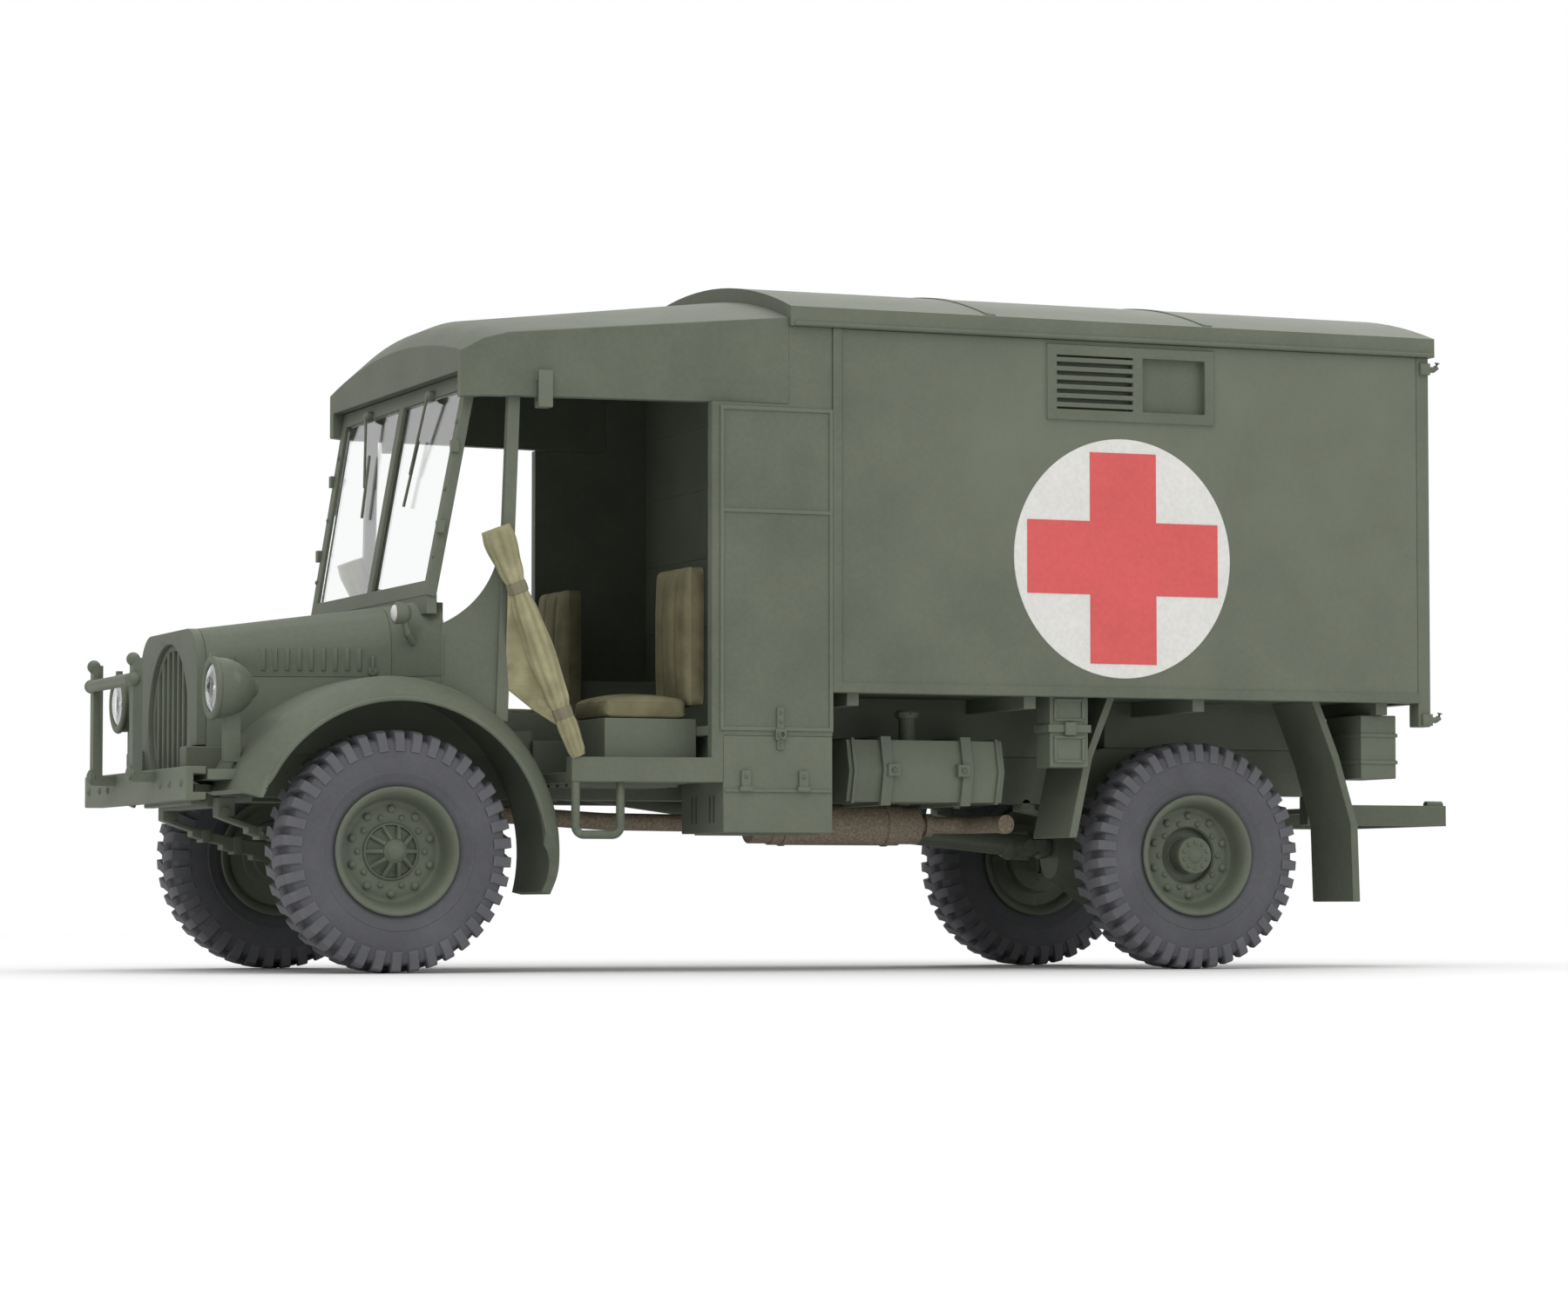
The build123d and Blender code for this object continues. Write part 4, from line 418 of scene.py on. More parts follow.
def add_prism(mesh, outline, shift):
    """A flat outline of points, thickened by a shift."""
    first = [mesh.verts.new(point) for point in outline]
    second = [mesh.verts.new(Vector(point) + Vector(shift)) for point in outline]
    mesh.faces.new(first[::-1])
    mesh.faces.new(second)
    for index in range(len(first)):
        following = (index + 1) % len(first)
        mesh.faces.new((first[index], first[following], second[following], second[index]))


def add_sleeve(mesh, rings):
    """Closes a row of rings of points into one skin."""
    skins = [[mesh.verts.new(point) for point in ring] for ring in rings]
    for first, second in zip(skins, skins[1:]):
        for step in range(len(first)):
            following = (step + 1) % len(first)
            mesh.faces.new((first[step], second[step], second[following], first[following]))
    mesh.faces.new(skins[0])
    mesh.faces.new(skins[-1][::-1])


def add_lathe(mesh, origin, axis, profile, segments=48, closed=False):
    """Turns (along, radius) points about an axis. A radius of zero closes the end."""
    origin, axis = Vector(origin), Vector(axis).normalized()
    across, up = axis_frame(axis)
    rings = []
    for along, radius in profile:
        middle = origin + axis * along
        points = ring_points(middle, across, up, radius, segments) if radius else [middle]
        rings.append([mesh.verts.new(point) for point in points])
    pairs = list(zip(rings, rings[1:]))
    if closed:
        pairs.append((rings[-1], rings[0]))
    for first, second in pairs:
        for step in range(segments):
            following = (step + 1) % segments
            if len(first) == 1:
                mesh.faces.new((first[0], second[step], second[following]))
            elif len(second) == 1:
                mesh.faces.new((first[step], second[0], first[following]))
            else:
                mesh.faces.new((first[step], second[step], second[following], first[following]))


def add_stud(mesh, seat, axis, radius, height, segments=16):
    """A round peg with flat ends, or a bolt head."""
    add_lathe(mesh, seat, axis, ((0, 0), (0, radius), (height, radius), (height, 0)), segments)


def add_ring(mesh, middle, axis, span, radii, segments):
    """A flat ring, by its span along the axis and its inner and outer radius."""
    inner, outer = radii
    profile = ((span[0], inner), (span[0], outer), (span[1], outer), (span[1], inner))
    add_lathe(mesh, middle, axis, profile, segments, closed=True)


def add_ball(mesh, centre, radius):
    profile = []
    for step in range(BALL_STEPS + 1):
        angle = math.pi * step / BALL_STEPS
        bulge = radius * math.sin(angle) if 0 < step < BALL_STEPS else 0
        profile.append((-radius * math.cos(angle), bulge))
    add_lathe(mesh, centre, UP, profile, 20)


def add_dome(mesh, seat, axis, radius, height):
    """A round head, such as a nut or a rivet, that stands on a seat."""
    profile = [(0, 0)] + [(height * rise, radius * reach) for rise, reach in DOME_CURVE] + [(height, 0)]
    add_lathe(mesh, seat, axis, profile, 16)


def add_drain_plug(mesh, seat, radius, head):
    """A plug screwed in from below, by its radius and that of its head."""
    profile = ((-0.1, 0), (-0.1, radius), (0.2, radius), (0.2, head), (0.4, head), (0.4, 0))
    add_lathe(mesh, seat, DOWN, profile, 12)


def add_tube(mesh, points, radius, segments=12, fading=0):
    """A round bar bent through several points. Its closed ends can fade out over a few points."""
    points = [Vector(point) for point in points]
    rings = []
    for index, point in enumerate(points):
        before = points[max(index - 1, 0)]
        after = points[min(index + 1, len(points) - 1)]
        across, up = axis_frame(after - before)
        from_end = min(index, len(points) - 1 - index)
        reach = radius * min((from_end + FADED_END) / (fading + FADED_END), 1)
        rings.append(ring_points(point, across, up, reach, segments))
    add_sleeve(mesh, rings)


def add_mirror(mesh):
    """Adds the right-hand image of the left-hand shapes that the mesh holds so far."""
    image = bmesh.ops.duplicate(mesh, geom=[*mesh.verts, *mesh.edges, *mesh.faces])["geom"]
    verts = [part for part in image if isinstance(part, bmesh.types.BMVert)]
    bmesh.ops.scale(mesh, vec=(-1, 1, 1), verts=verts)


# Wheels

TYRE_PROFILE = (  # half of the section, as (outward, radius), from the middle of the tread to the bead
    (0.0, 9.50), (0.52, 9.49), (0.74, 9.36), (0.92, 9.08), (2.05, 8.98), (2.36, 8.78),
    (2.55, 8.35), (2.65, 7.75), (2.66, 7.10), (2.60, 6.55), (2.56, 6.32), (2.60, 6.24),
    (2.58, 6.12), (2.50, 6.02), (2.38, 5.60), (2.26, 5.38), (2.08, 5.16), (2.02, 4.75),
)
LUGS = 38
LUG_STATIONS = (  # along a bar lug: (outward, tip radius, root radius, turn in shares of the pitch)
    (-0.20, 9.52, 9.00, -0.30),
    (0.45, 9.60, 9.00, -0.14),
    (1.10, 9.60, 8.95, -0.02),
    (2.00, 9.57, 8.90, 0.04),
    (2.42, 9.36, 8.66, 0.06),
    (2.63, 8.80, 8.20, 0.06),
    (2.72, 8.12, 7.90, 0.06),
)
LUG_SHARES = (-0.31, -0.25, 0.25, 0.31)  # root, tip, tip and root across a lug, in shares of the pitch


def turned(centre, side, out, radius, angle):
    """A point beside a wheel, by how far out it is and its turn about the axle."""
    return centre + Vector((side * out, radius * math.sin(angle), radius * math.cos(angle)))


def add_lug(mesh, centre, side, angle):
    """One bar lug, from the zigzag at the tyre's middle out to the shoulder."""
    pitch = 2 * math.pi / LUGS
    rings = []
    for out, tip, root, turn in LUG_STATIONS:
        radii = (root, tip, tip, root)
        places = [angle + (turn + share) * pitch for share in LUG_SHARES]
        rings.append([turned(centre, side, out, radius, place) for radius, place in zip(radii, places)])
    add_sleeve(mesh, rings)


def make_tyre(name):
    node = f"tyre_{name}"
    centre = centre_of(node)
    side = math.copysign(1, centre.x)
    mesh = bmesh.new()
    inner = [(-out, radius) for out, radius in TYRE_PROFILE[::-1]]
    add_lathe(mesh, centre, (side, 0, 0), inner + list(TYRE_PROFILE[1:]), segments=128, closed=True)
    for hand, start in ((1, 0.0), (-1, 0.5)):
        for angle in turns(LUGS, start):
            add_lug(mesh, centre, side * hand, angle)
    tyre = finish_piece(f"{node}_tread", mesh, rubber, f"{name}_wheel")
    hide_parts(node)


RIM_FLANGE = (  # from the tyre's seat round the rolled edge to the barrel, as (outward, radius)
    (2.14, 4.66), (2.15, 5.04), (2.24, 5.10), (2.42, 5.09), (2.49, 4.98), (2.46, 4.80), (2.28, 4.58),
    (1.90, 4.36), (1.30, 4.22), (0.80, 4.14), (0.58, 4.00), (0.50, 3.80), (0.52, 3.62), (0.60, 3.40),
    (0.60, 3.00),
)
FRONT_HUB = (
    (0.58, 2.46), (0.52, 2.34), (0.70, 2.22), (0.72, 2.12), (0.50, 2.02), (0.62, 1.70), (1.50, 0.98),
    (1.80, 0.92), (1.88, 0.80), (2.00, 0.72), (2.14, 0.50), (2.22, 0.28), (2.24, 0.0),
)
REAR_HUB = (
    (0.60, 2.50), (0.46, 2.36), (-0.14, 2.28), (-0.28, 2.10), (-0.28, 1.66), (-0.10, 1.48), (1.40, 1.34),
    (1.48, 1.56), (1.84, 1.54), (1.92, 1.44), (1.92, 0.72), (2.04, 0.58), (2.12, 0.30), (2.14, 0.0),
)
RIM_BACK = (  # from the axle out along the drum and back along the barrel to the tyre's seat
    (-2.30, 0.75), (-2.30, 1.34), (-2.12, 1.44), (-2.10, 2.06), (-1.94, 2.22), (-1.92, 2.96),
    (-1.76, 3.10), (-1.74, 4.16), (-1.86, 4.28), (-2.12, 4.36), (-2.32, 4.58), (-2.47, 4.80),
    (-2.50, 4.98), (-2.42, 5.09), (-2.24, 5.10), (-2.15, 5.04), (-2.14, 4.66),
)
AXLE_BORE = ((1.15, 0.0), (1.15, 0.75))  # the blind end that takes the stub axle
NUT_CIRCLES = ((3.36, 0.33, 0.32, 0.0), (2.78, 0.25, 0.24, 0.5))  # (circle, radius, height, turn)
NUT_SEAT = 0.57  # outward from the wheel's middle
NUTS = 10
HUB_RIBS = 10
RIB_R = 0.17
RIB_ENDS = ((0.62, 2.02), (1.74, 0.94))  # (outward, radius)
STUDS = 10
STUD_R = 0.17
STUD_PLACE = (1.90, 1.10)  # outward, and the radius of their circle


def make_rim(name):
    node = f"wheel_{name}"
    centre = centre_of(node)
    side = math.copysign(1, centre.x)
    is_front = name.startswith("front")
    outward = (side, 0, 0)
    mesh = bmesh.new()
    hub = FRONT_HUB if is_front else REAR_HUB
    add_lathe(mesh, centre, outward, AXLE_BORE + RIM_BACK + RIM_FLANGE + hub, segments=96)
    for circle, radius, height, turn in NUT_CIRCLES:
        for angle in turns(NUTS, turn):
            add_dome(mesh, turned(centre, side, NUT_SEAT, circle, angle), outward, radius, height)
    if is_front:
        for angle in turns(HUB_RIBS, 0.5):
            add_tube(mesh, [turned(centre, side, *end, angle) for end in RIB_ENDS], RIB_R, segments=8)
    else:
        for angle in turns(STUDS):
            add_dome(mesh, turned(centre, side, *STUD_PLACE, angle), outward, STUD_R, STUD_R)
    rim = finish_piece(f"{node}_rim", mesh, body=f"{name}_wheel")
    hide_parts(node)


# Rolled door canvas

ROLL_FOOT = (20.0, 14.8, 17.25)  # on the sill, measured from the front axle
ROLL_TOP = (19.8, 7.9, 35.3)  # against the door's front pillar
ROLL_STATIONS = (  # (share of the way up, radius)
    (0.00, 0.55), (0.03, 0.70), (0.14, 0.84), (0.19, 0.66), (0.26, 0.92), (0.45, 1.10),
    (0.62, 1.00), (0.74, 0.70), (0.82, 1.00), (0.95, 1.28), (1.00, 1.16),
)
ROLL_STRAPS = (0.19, 0.74)  # shares of the way up
STRAP_BAND = ((-0.026, -0.06), (-0.022, 0.12), (0.0, 0.15), (0.022, 0.12), (0.026, -0.06))  # (share, lift)
FLAP_STATIONS = (  # the flat cloth between roll and pillar: (share, reach ahead of the roll, half thickness)
    (0.13, 0.45, 0.12),
    (0.25, 2.30, 0.20),
    (0.36, 3.60, 0.20),
    (0.60, 1.90, 0.22),
    (0.77, 0.62, 0.28),
)
FLAP_LEAN = 0.5  # inwards for each millimetre ahead
FLAP_WRINKLE = 0.10
ROLL_RINGS = 72
ROLL_SEGMENTS = 56


def between(stations, share, eased=True):
    """Values between the stations on either side of a share."""
    for low, high in zip(stations, stations[1:]):
        if share <= high[0]:
            step = (share - low[0]) / (high[0] - low[0])
            step = max(step, 0.0)
            step = step * step * (3 - 2 * step) if eased else step
            return [a + (b - a) * step for a, b in zip(low[1:], high[1:])]
    return list(stations[-1][1:])


def roll_axes():
    """A roll's foot, its run to the top, and the directions forward and outward across it."""
    foot = behind_front(*ROLL_FOOT)
    run = behind_front(*ROLL_TOP) - foot
    along = run.normalized()
    outward = (Vector(OUTWARD) - along * along.x).normalized()
    return foot, run, outward.cross(along), outward


def roll_crease(share, angle):
    """Long folds that twist slowly up the roll."""
    folds = 0.050 * math.sin(5 * angle + 4 * share) + 0.030 * math.sin(9 * angle - 7 * share)
    return 1 + folds + 0.012 * math.sin(31 * share + 2 * angle)


def roll_ring(axes, share, radius, lift=0.0):
    """Points round the creased roll, a share of the way up."""
    foot, run, forward, outward = axes
    middle = foot + run * share
    reach = [(a, radius * roll_crease(share, a) + lift) for a in turns(ROLL_SEGMENTS)]
    return [middle + (forward * math.cos(a) + outward * math.sin(a)) * r for a, r in reach]


def flap_ring(axes, share):
    """Points round the flat cloth, a share of the way up the roll."""
    foot, run, forward, outward = axes
    ahead = (forward - outward * FLAP_LEAN).normalized()
    reach, thickness = between(FLAP_STATIONS, share, eased=False)
    middle = foot + run * share + ahead * reach / 2
    ring = []
    for angle in turns(ROLL_SEGMENTS):
        wrinkle = FLAP_WRINKLE * math.sin(16 * share + 3 * math.cos(angle))
        bulge = outward * (math.sin(angle) * thickness + wrinkle)
        ring.append(middle + ahead * math.cos(angle) * reach / 2 + bulge)
    return ring


def make_canvas_rolls():
    cloth = bmesh.new()
    straps = bmesh.new()
    roll_shares = evenly(0, 1, ROLL_RINGS)
    flap_shares = evenly(FLAP_STATIONS[0][0], FLAP_STATIONS[-1][0], ROLL_RINGS)
    axes = roll_axes()
    add_sleeve(cloth, [roll_ring(axes, share, *between(ROLL_STATIONS, share)) for share in roll_shares])
    add_sleeve(cloth, [flap_ring(axes, share) for share in flap_shares])
    for strap in ROLL_STRAPS:
        radius = between(ROLL_STATIONS, strap)[0]
        add_sleeve(straps, [roll_ring(axes, strap + offset, radius, lift) for offset, lift in STRAP_BAND])
    add_mirror(cloth)
    add_mirror(straps)
    rolls = finish_piece("canvas_rolls_cloth", cloth, khaki)
    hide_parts("canvas_rolls")
    finish_piece("canvas_roll_straps", straps, strap_paint)


# Seats

Y_AXIS, Z_AXIS = 1, 2
PAD_CUTS = 26
PAD_ROUNDING = 0.75
PAD_CROWN_POWER = 2.6
PAD_WAIST = 0.035  # drawn in halfway through its thickness
PAD_CHANNELS = (-0.34, 0.34)  # sewn lines, in half widths
CHANNEL_DEPTH = 0.34  # in shares of the crown
CHANNEL_WIDTH = 0.07
SEAT_LOW, SEAT_HIGH = corners("seats")
SEAT_INNER_X = 10.8
CUSHION_HEIGHT = 1.6
CUSHION_CROWN = 0.5
BACKREST_DEPTH = 1.5
BACKREST_FOOT = 0.9
BACKREST_CROWN = 0.45


def add_pad(mesh, low, high, face, hand, crown):
    """A crowned pad with sewn channels. Its face looks along the axis number given, towards hand."""
    low, high = Vector(low), Vector(high)
    middle, half = (low + high) / 2, (high - low) / 2
    cube = bmesh.new()
    bmesh.ops.create_cube(cube, size=2.0)
    bmesh.ops.subdivide_edges(cube, edges=cube.edges, cuts=PAD_CUTS, use_grid_fill=True)
    across, up = [axis for axis in range(3) if axis != face]
    limits = [size - PAD_ROUNDING for size in half]
    for vert in cube.verts:
        unit = vert.co.copy()
        core = Vector([unit[i] * half[i] for i in range(3)])
        inner = Vector([max(-limits[i], min(limits[i], core[i])) for i in range(3)])
        edge = core - inner
        if edge.length > 1e-9:
            core = inner + edge.normalized() * min(edge.length, PAD_ROUNDING)
        facing = max(unit[face] * hand, 0)
        swell = (1 - abs(unit[across]) ** PAD_CROWN_POWER) * (1 - abs(unit[up]) ** PAD_CROWN_POWER) * facing
        for channel in PAD_CHANNELS:
            swell -= CHANNEL_DEPTH * math.exp(-(((unit[across] - channel) / CHANNEL_WIDTH) ** 2)) * facing
        core[face] += hand * crown * swell
        pull = PAD_WAIST * (1 - abs(unit[face]) ** 2)
        for axis in (across, up):
            core[axis] *= 1 - pull
        vert.co = middle + core
    skin = bpy.data.meshes.new("pad")
    cube.to_mesh(skin)
    cube.free()
    mesh.from_mesh(skin)
    bpy.data.meshes.remove(skin)


def make_seats():
    mesh = bmesh.new()
    back_y = SEAT_HIGH.y - BACKREST_DEPTH
    x_low, x_high = SEAT_INNER_X, SEAT_HIGH.x
    cushion = ((x_low, SEAT_LOW.y, SEAT_LOW.z), (x_high, back_y, SEAT_LOW.z + CUSHION_HEIGHT))
    add_pad(mesh, *cushion, Z_AXIS, 1, CUSHION_CROWN)
    backrest = ((x_low, back_y, SEAT_LOW.z + BACKREST_FOOT), (x_high, SEAT_HIGH.y, SEAT_HIGH.z))
    add_pad(mesh, *backrest, Y_AXIS, -1, BACKREST_CROWN)
    add_mirror(mesh)
    seats = finish_piece("seat_pads", mesh, seat_paint)
    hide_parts("seats")


# Cab and body fittings

STRIP = 0.32  # width of a raised joint strip
STRIP_PROUD = 0.13
STRIP_STEP = 0.02  # between strips that cross, so that no two faces share a plane
CAB_PANEL_YS = (26.0, 35.5)  # joint strips up the panel behind the door, back from the front axle
CAB_PANEL_ZS = (19.4, 37.0, 45.3)
BACK_WALL_Y = corners("body_bulkhead")[0].y
BACK_WALL_X = 21.0
BACK_WALL_ZS = (29.5, 35.5, 41.5, 47.0)  # joint strips across the cab's back wall
LATCH_PLACE = (31.2, 19.4)
LATCH_RIVETS = (-1.15, 0.75, 1.5)  # above the latch's place


def make_cab_panels():
    strips = bmesh.new()
    latches = bmesh.new()
    upright_z = (CAB_PANEL_ZS[0] - STRIP_STEP, CAB_PANEL_ZS[2] + STRIP + STRIP_STEP)
    level_y = [place + STRIP / 2 for place in CAB_PANEL_YS]
    place, height = LATCH_PLACE
    for y in CAB_PANEL_YS:
        add_wall_box(strips, (y, y + STRIP), upright_z, STRIP_PROUD)
    for z in CAB_PANEL_ZS:
        add_wall_box(strips, level_y, (z, z + STRIP), STRIP_PROUD - STRIP_STEP, sunk=0.06)
    add_wall_box(latches, around(place, 0.3), (height - 1.5, height + 1.9), 0.2)
    add_wall_box(latches, around(place, 0.45), (height - 0.75, height + 0.15), 0.34)
    for rise in LATCH_RIVETS:
        add_dome(latches, behind_front(BODY_X + 0.18, place, height + rise), OUTWARD, 0.16, 0.14)
    ring = behind_front(BODY_X + 0.34, place, height - 0.3)
    add_ring(latches, ring, OUTWARD, (0, 0.22), (0.2, 0.34), 16)
    add_mirror(strips)
    add_mirror(latches)
    for z in BACK_WALL_ZS:
        depth = (BACK_WALL_Y - STRIP_PROUD, BACK_WALL_Y + SUNK)
        add_spans(strips, (-BACK_WALL_X, BACK_WALL_X), depth, (z, z + STRIP))
    finish_piece("cab_panel_strips", strips, soft=TRIM_EDGE)
    finish_piece("cab_panel_latches", latches, soft=TRIM_EDGE)


LOCKER_LOW, LOCKER_HIGH = corners("locker_left")
LOCKER_BATTENS_X = (15.6, 19.6)
LOCKER_RAIL_Y = (26.4, 35.7)
LOCKER_TAB_YS = (28.2, 33.2)
LOCKER_SLOT_XS = (15.4, 16.3, 19.4, 20.3)
LOCKER_SLOT_ZS = ((12.0, 14.2), (15.2, 18.2))
HANGER_FACE_Y = FRONT_Y + 11.1  # front face of the hanger over the doorway
HANGER_SLOT_X = (20.15, 20.55)
HANGER_SLOT_Z = (45.5, 47.2)


def slot_depth(face):
    """Span of a thin plate of painted shade, standing a hair proud of a front face in place of a slot's
    opening.
    """
    return (face - 0.03, face + 0.1)


def make_locker_fittings():
    battens = bmesh.new()
    batten_y = (LOCKER_LOW.y + 0.2, LOCKER_HIGH.y - 0.2)
    for x in LOCKER_BATTENS_X:
        add_spans(battens, around(x, 0.22), batten_y, (LOCKER_LOW.z - 0.14, LOCKER_LOW.z + 0.1))
    for place in LOCKER_TAB_YS:
        add_wall_box(battens, around(place, 0.4), (14.7, 16.2), 0.26)
        add_wall_box(battens, around(place, 0.55), (14.5, 14.9), 0.36)
        add_dome(battens, behind_front(BODY_X + 0.24, place, 15.7), OUTWARD, 0.17, 0.14)
    add_wall_box(battens, LOCKER_RAIL_Y, (14.45, 14.7), 0.14)
    finish_piece("locker_battens", battens, soft=TRIM_EDGE)
    # Painted shade: thin dark plates stand in for the openings of the hanger's and the lockers' slots.
    slots = bmesh.new()
    add_spans(slots, HANGER_SLOT_X, slot_depth(HANGER_FACE_Y), HANGER_SLOT_Z)
    add_mirror(slots)
    for x in LOCKER_SLOT_XS:
        for heights in LOCKER_SLOT_ZS:
            add_spans(slots, around(x, 0.12), slot_depth(LOCKER_LOW.y), heights)
    finish_piece("slot_painted_shade", slots, olive_shadow)


DOOR_LOW, DOOR_HIGH = corners("rear_door_left")
DOOR_HINGE_ZS = (28.2, 37.6, 47.0)
HINGE_STRAP = 4.2
HINGE_RIVETS = (0.9, 2.2, 3.5)  # in from the door's edge
WINDOW_LOW, WINDOW_HIGH = corners("rear_door_glass")
WINDOW_INNER_X = 5.2
WINDOW_TRIM = 0.6
TRIM_PROUD = 0.2
COVER_STRIP_X = (-0.5, 0.25)  # over the joint between the doors
GRIP_X = 2.2
GRIP_POINTS = ((0, 33.0), (0.7, 33.3), (0.7, 36.7), (0, 37.0))  # (behind the door, height)
HANDLE_POINTS = ((1.6, 0.5, 30.6), (3.2, 0.55, 30.5), (3.9, 0.5, 30.1))  # (x, behind the door, height)
HANDLE_BOSS = ((0, 0), (0, 0.6), (0.3, 0.6), (0.3, 0.3), (0.6, 0.3), (0.6, 0))


def add_window_trim(mesh, x, y):
    """Four bars round a rear window, by the window's span across and the bars' span along the truck."""
    low_z, high_z = WINDOW_LOW.z, WINDOW_HIGH.z
    rail_x = (x[0] - WINDOW_TRIM, x[1] + WINDOW_TRIM)
    add_spans(mesh, rail_x, y, (low_z - WINDOW_TRIM, low_z))
    add_spans(mesh, rail_x, y, (high_z, high_z + WINDOW_TRIM))
    add_spans(mesh, (x[0] - WINDOW_TRIM, x[0]), y, (low_z, high_z))
    add_spans(mesh, (x[1], x[1] + WINDOW_TRIM), y, (low_z, high_z))


def make_rear_door_fittings():
    mesh = bmesh.new()
    face = DOOR_HIGH.y
    trim_y = (face - SUNK, face + TRIM_PROUD)
    for side in SIDES.values():
        for height in DOOR_HINGE_ZS:
            add_stud(mesh, (side * (DOOR_HIGH.x + 0.05), face + 0.32, height - 0.8), UP, 0.34, 1.6)
            strap_x = sorted((side * (DOOR_HIGH.x - HINGE_STRAP), side * DOOR_HIGH.x))
            add_spans(mesh, strap_x, (face - SUNK, face + 0.22), around(height, 0.4))
            for inset in HINGE_RIVETS:
                add_dome(mesh, (side * (DOOR_HIGH.x - inset), face + 0.2, height), BACKWARD, 0.18, 0.16)
        add_window_trim(mesh, sorted((side * WINDOW_INNER_X, side * WINDOW_HIGH.x)), trim_y)
        add_tube(mesh, [(side * GRIP_X, face + out, z) for out, z in GRIP_POINTS], 0.22)
    add_spans(mesh, COVER_STRIP_X, trim_y, (DOOR_LOW.z, DOOR_HIGH.z))
    boss_x, _, boss_z = HANDLE_POINTS[0]
    add_lathe(mesh, (boss_x, face, boss_z), BACKWARD, HANDLE_BOSS, 20)
    add_tube(mesh, [(x, face + out, z) for x, out, z in HANDLE_POINTS], 0.2)
    finish_piece("rear_door_fittings", mesh, soft=TRIM_EDGE)


ROOF_LOW, ROOF_HIGH = corners("body_roof")
ROOF_EDGE_Z = 53.9
ROOF_SEAM_PLACES = (50.0, 70.0)
SEAM_SECTION = ((-0.4, -0.05), (0.4, -0.05), (0.4, 0.09), (-0.4, 0.09))  # (along the truck, up)
SEAM_X = ROOF_HIGH.x * 0.985
SEAM_STEPS = 40
GUTTER_R = 0.2


def make_roof_seams():
    """Flat joint strips over the crowned roof, and a bead along each gutter."""
    mesh = bmesh.new()
    start_y, end_y = ROOF_LOW.y + 0.3, ROOF_HIGH.y - 0.2
    start = (ROOF_HIGH.x - 0.02, start_y, ROOF_LOW.z + GUTTER_R)
    add_stud(mesh, start, BACKWARD, GUTTER_R, end_y - start_y)
    add_mirror(mesh)
    rise = ROOF_HIGH.z - ROOF_EDGE_Z
    radius = (ROOF_HIGH.x**2 + rise**2) / (2 * rise)
    for place in ROOF_SEAM_PLACES:
        rings = []
        for x in evenly(-SEAM_X, SEAM_X, SEAM_STEPS):
            z = ROOF_HIGH.z - radius + math.sqrt(radius**2 - x**2)
            rings.append([behind_front(x, place + along, z + up) for along, up in SEAM_SECTION])
        add_sleeve(mesh, rings)
    finish_piece("roof_seams", mesh, soft=FINE_EDGE)


HOOK_ZS = (51.3, 21.2)
HOOK_POINTS = ((-0.2, 0), (0.55, 0), (0.85, 0.2), (0.95, 0.6))  # (behind the body, up)


def make_rear_hooks():
    mesh = bmesh.new()
    base_y = (BODY_REAR_Y - 0.9, BODY_REAR_Y + 0.05)
    for height in HOOK_ZS:
        x = BODY_X - 0.1
        add_spans(mesh, around(x, 0.4), base_y, around(height, 0.5))
        add_tube(mesh, [(x, BODY_REAR_Y + out, height + up) for out, up in HOOK_POINTS], 0.26)
    add_mirror(mesh)
    finish_piece("rear_hooks", mesh, soft=TRIM_EDGE)


# Front end

LAMP_FACE = (15.2, -14.0, 22.4)  # measured from the front axle
LAMP_DEPTH = 3.3
LENS_R = 1.9
LENS_PROFILE = (
    (0.12, 0.0), (0.08, 0.9), (-0.02, 1.5), (-0.16, LENS_R),
    (0.02, LENS_R), (0.14, 1.5), (0.28, 0.9), (0.34, 0.0),
)
BOWL_R = LENS_R - 0.02
BOWL_PROFILE = ((-0.46, 0.0), (-0.44, 0.4), (-0.36, 1.1), (-0.2, BOWL_R), (-0.48, BOWL_R), (-0.49, 0.0))
BULB_R = 0.26
LAMP_RIM = (
    (-0.25, 2.3), (-0.25, 2.5), (-0.05, 2.56), (0.12, 2.48),
    (0.2, 2.25), (0.16, 1.98), (0.0, 1.88), (-0.25, 1.88),
)
LAMP_TAIL = ((-0.1, 0.75), (0.15, 0.7), (0.35, 0.45), (0.42, 0))


def make_headlamp_faces():
    lenses = bmesh.new()
    bowls = bmesh.new()
    rims = bmesh.new()
    face = behind_front(*LAMP_FACE)
    add_lathe(lenses, face, FORWARD, LENS_PROFILE, 64)
    add_lathe(bowls, face, FORWARD, BOWL_PROFILE, 48)
    add_ball(bowls, face + Vector((0, 0.28, 0)), BULB_R)
    add_lathe(rims, face, FORWARD, LAMP_RIM, 64, closed=True)
    add_block(rims, face + Vector((0, 0.1, 2.55)), (0.25, 0.25, 0.2))
    add_lathe(rims, face + Vector((0, LAMP_DEPTH, 0)), BACKWARD, LAMP_TAIL, 24)
    add_mirror(lenses)
    add_mirror(bowls)
    add_mirror(rims)
    lens_piece = finish_piece("headlamp_lens_glass", lenses, clear)
    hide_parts("headlamp_lenses")
    finish_piece("headlamp_bowls", bowls, silver)
    finish_piece("headlamp_rims", rims, soft=TRIM_EDGE)


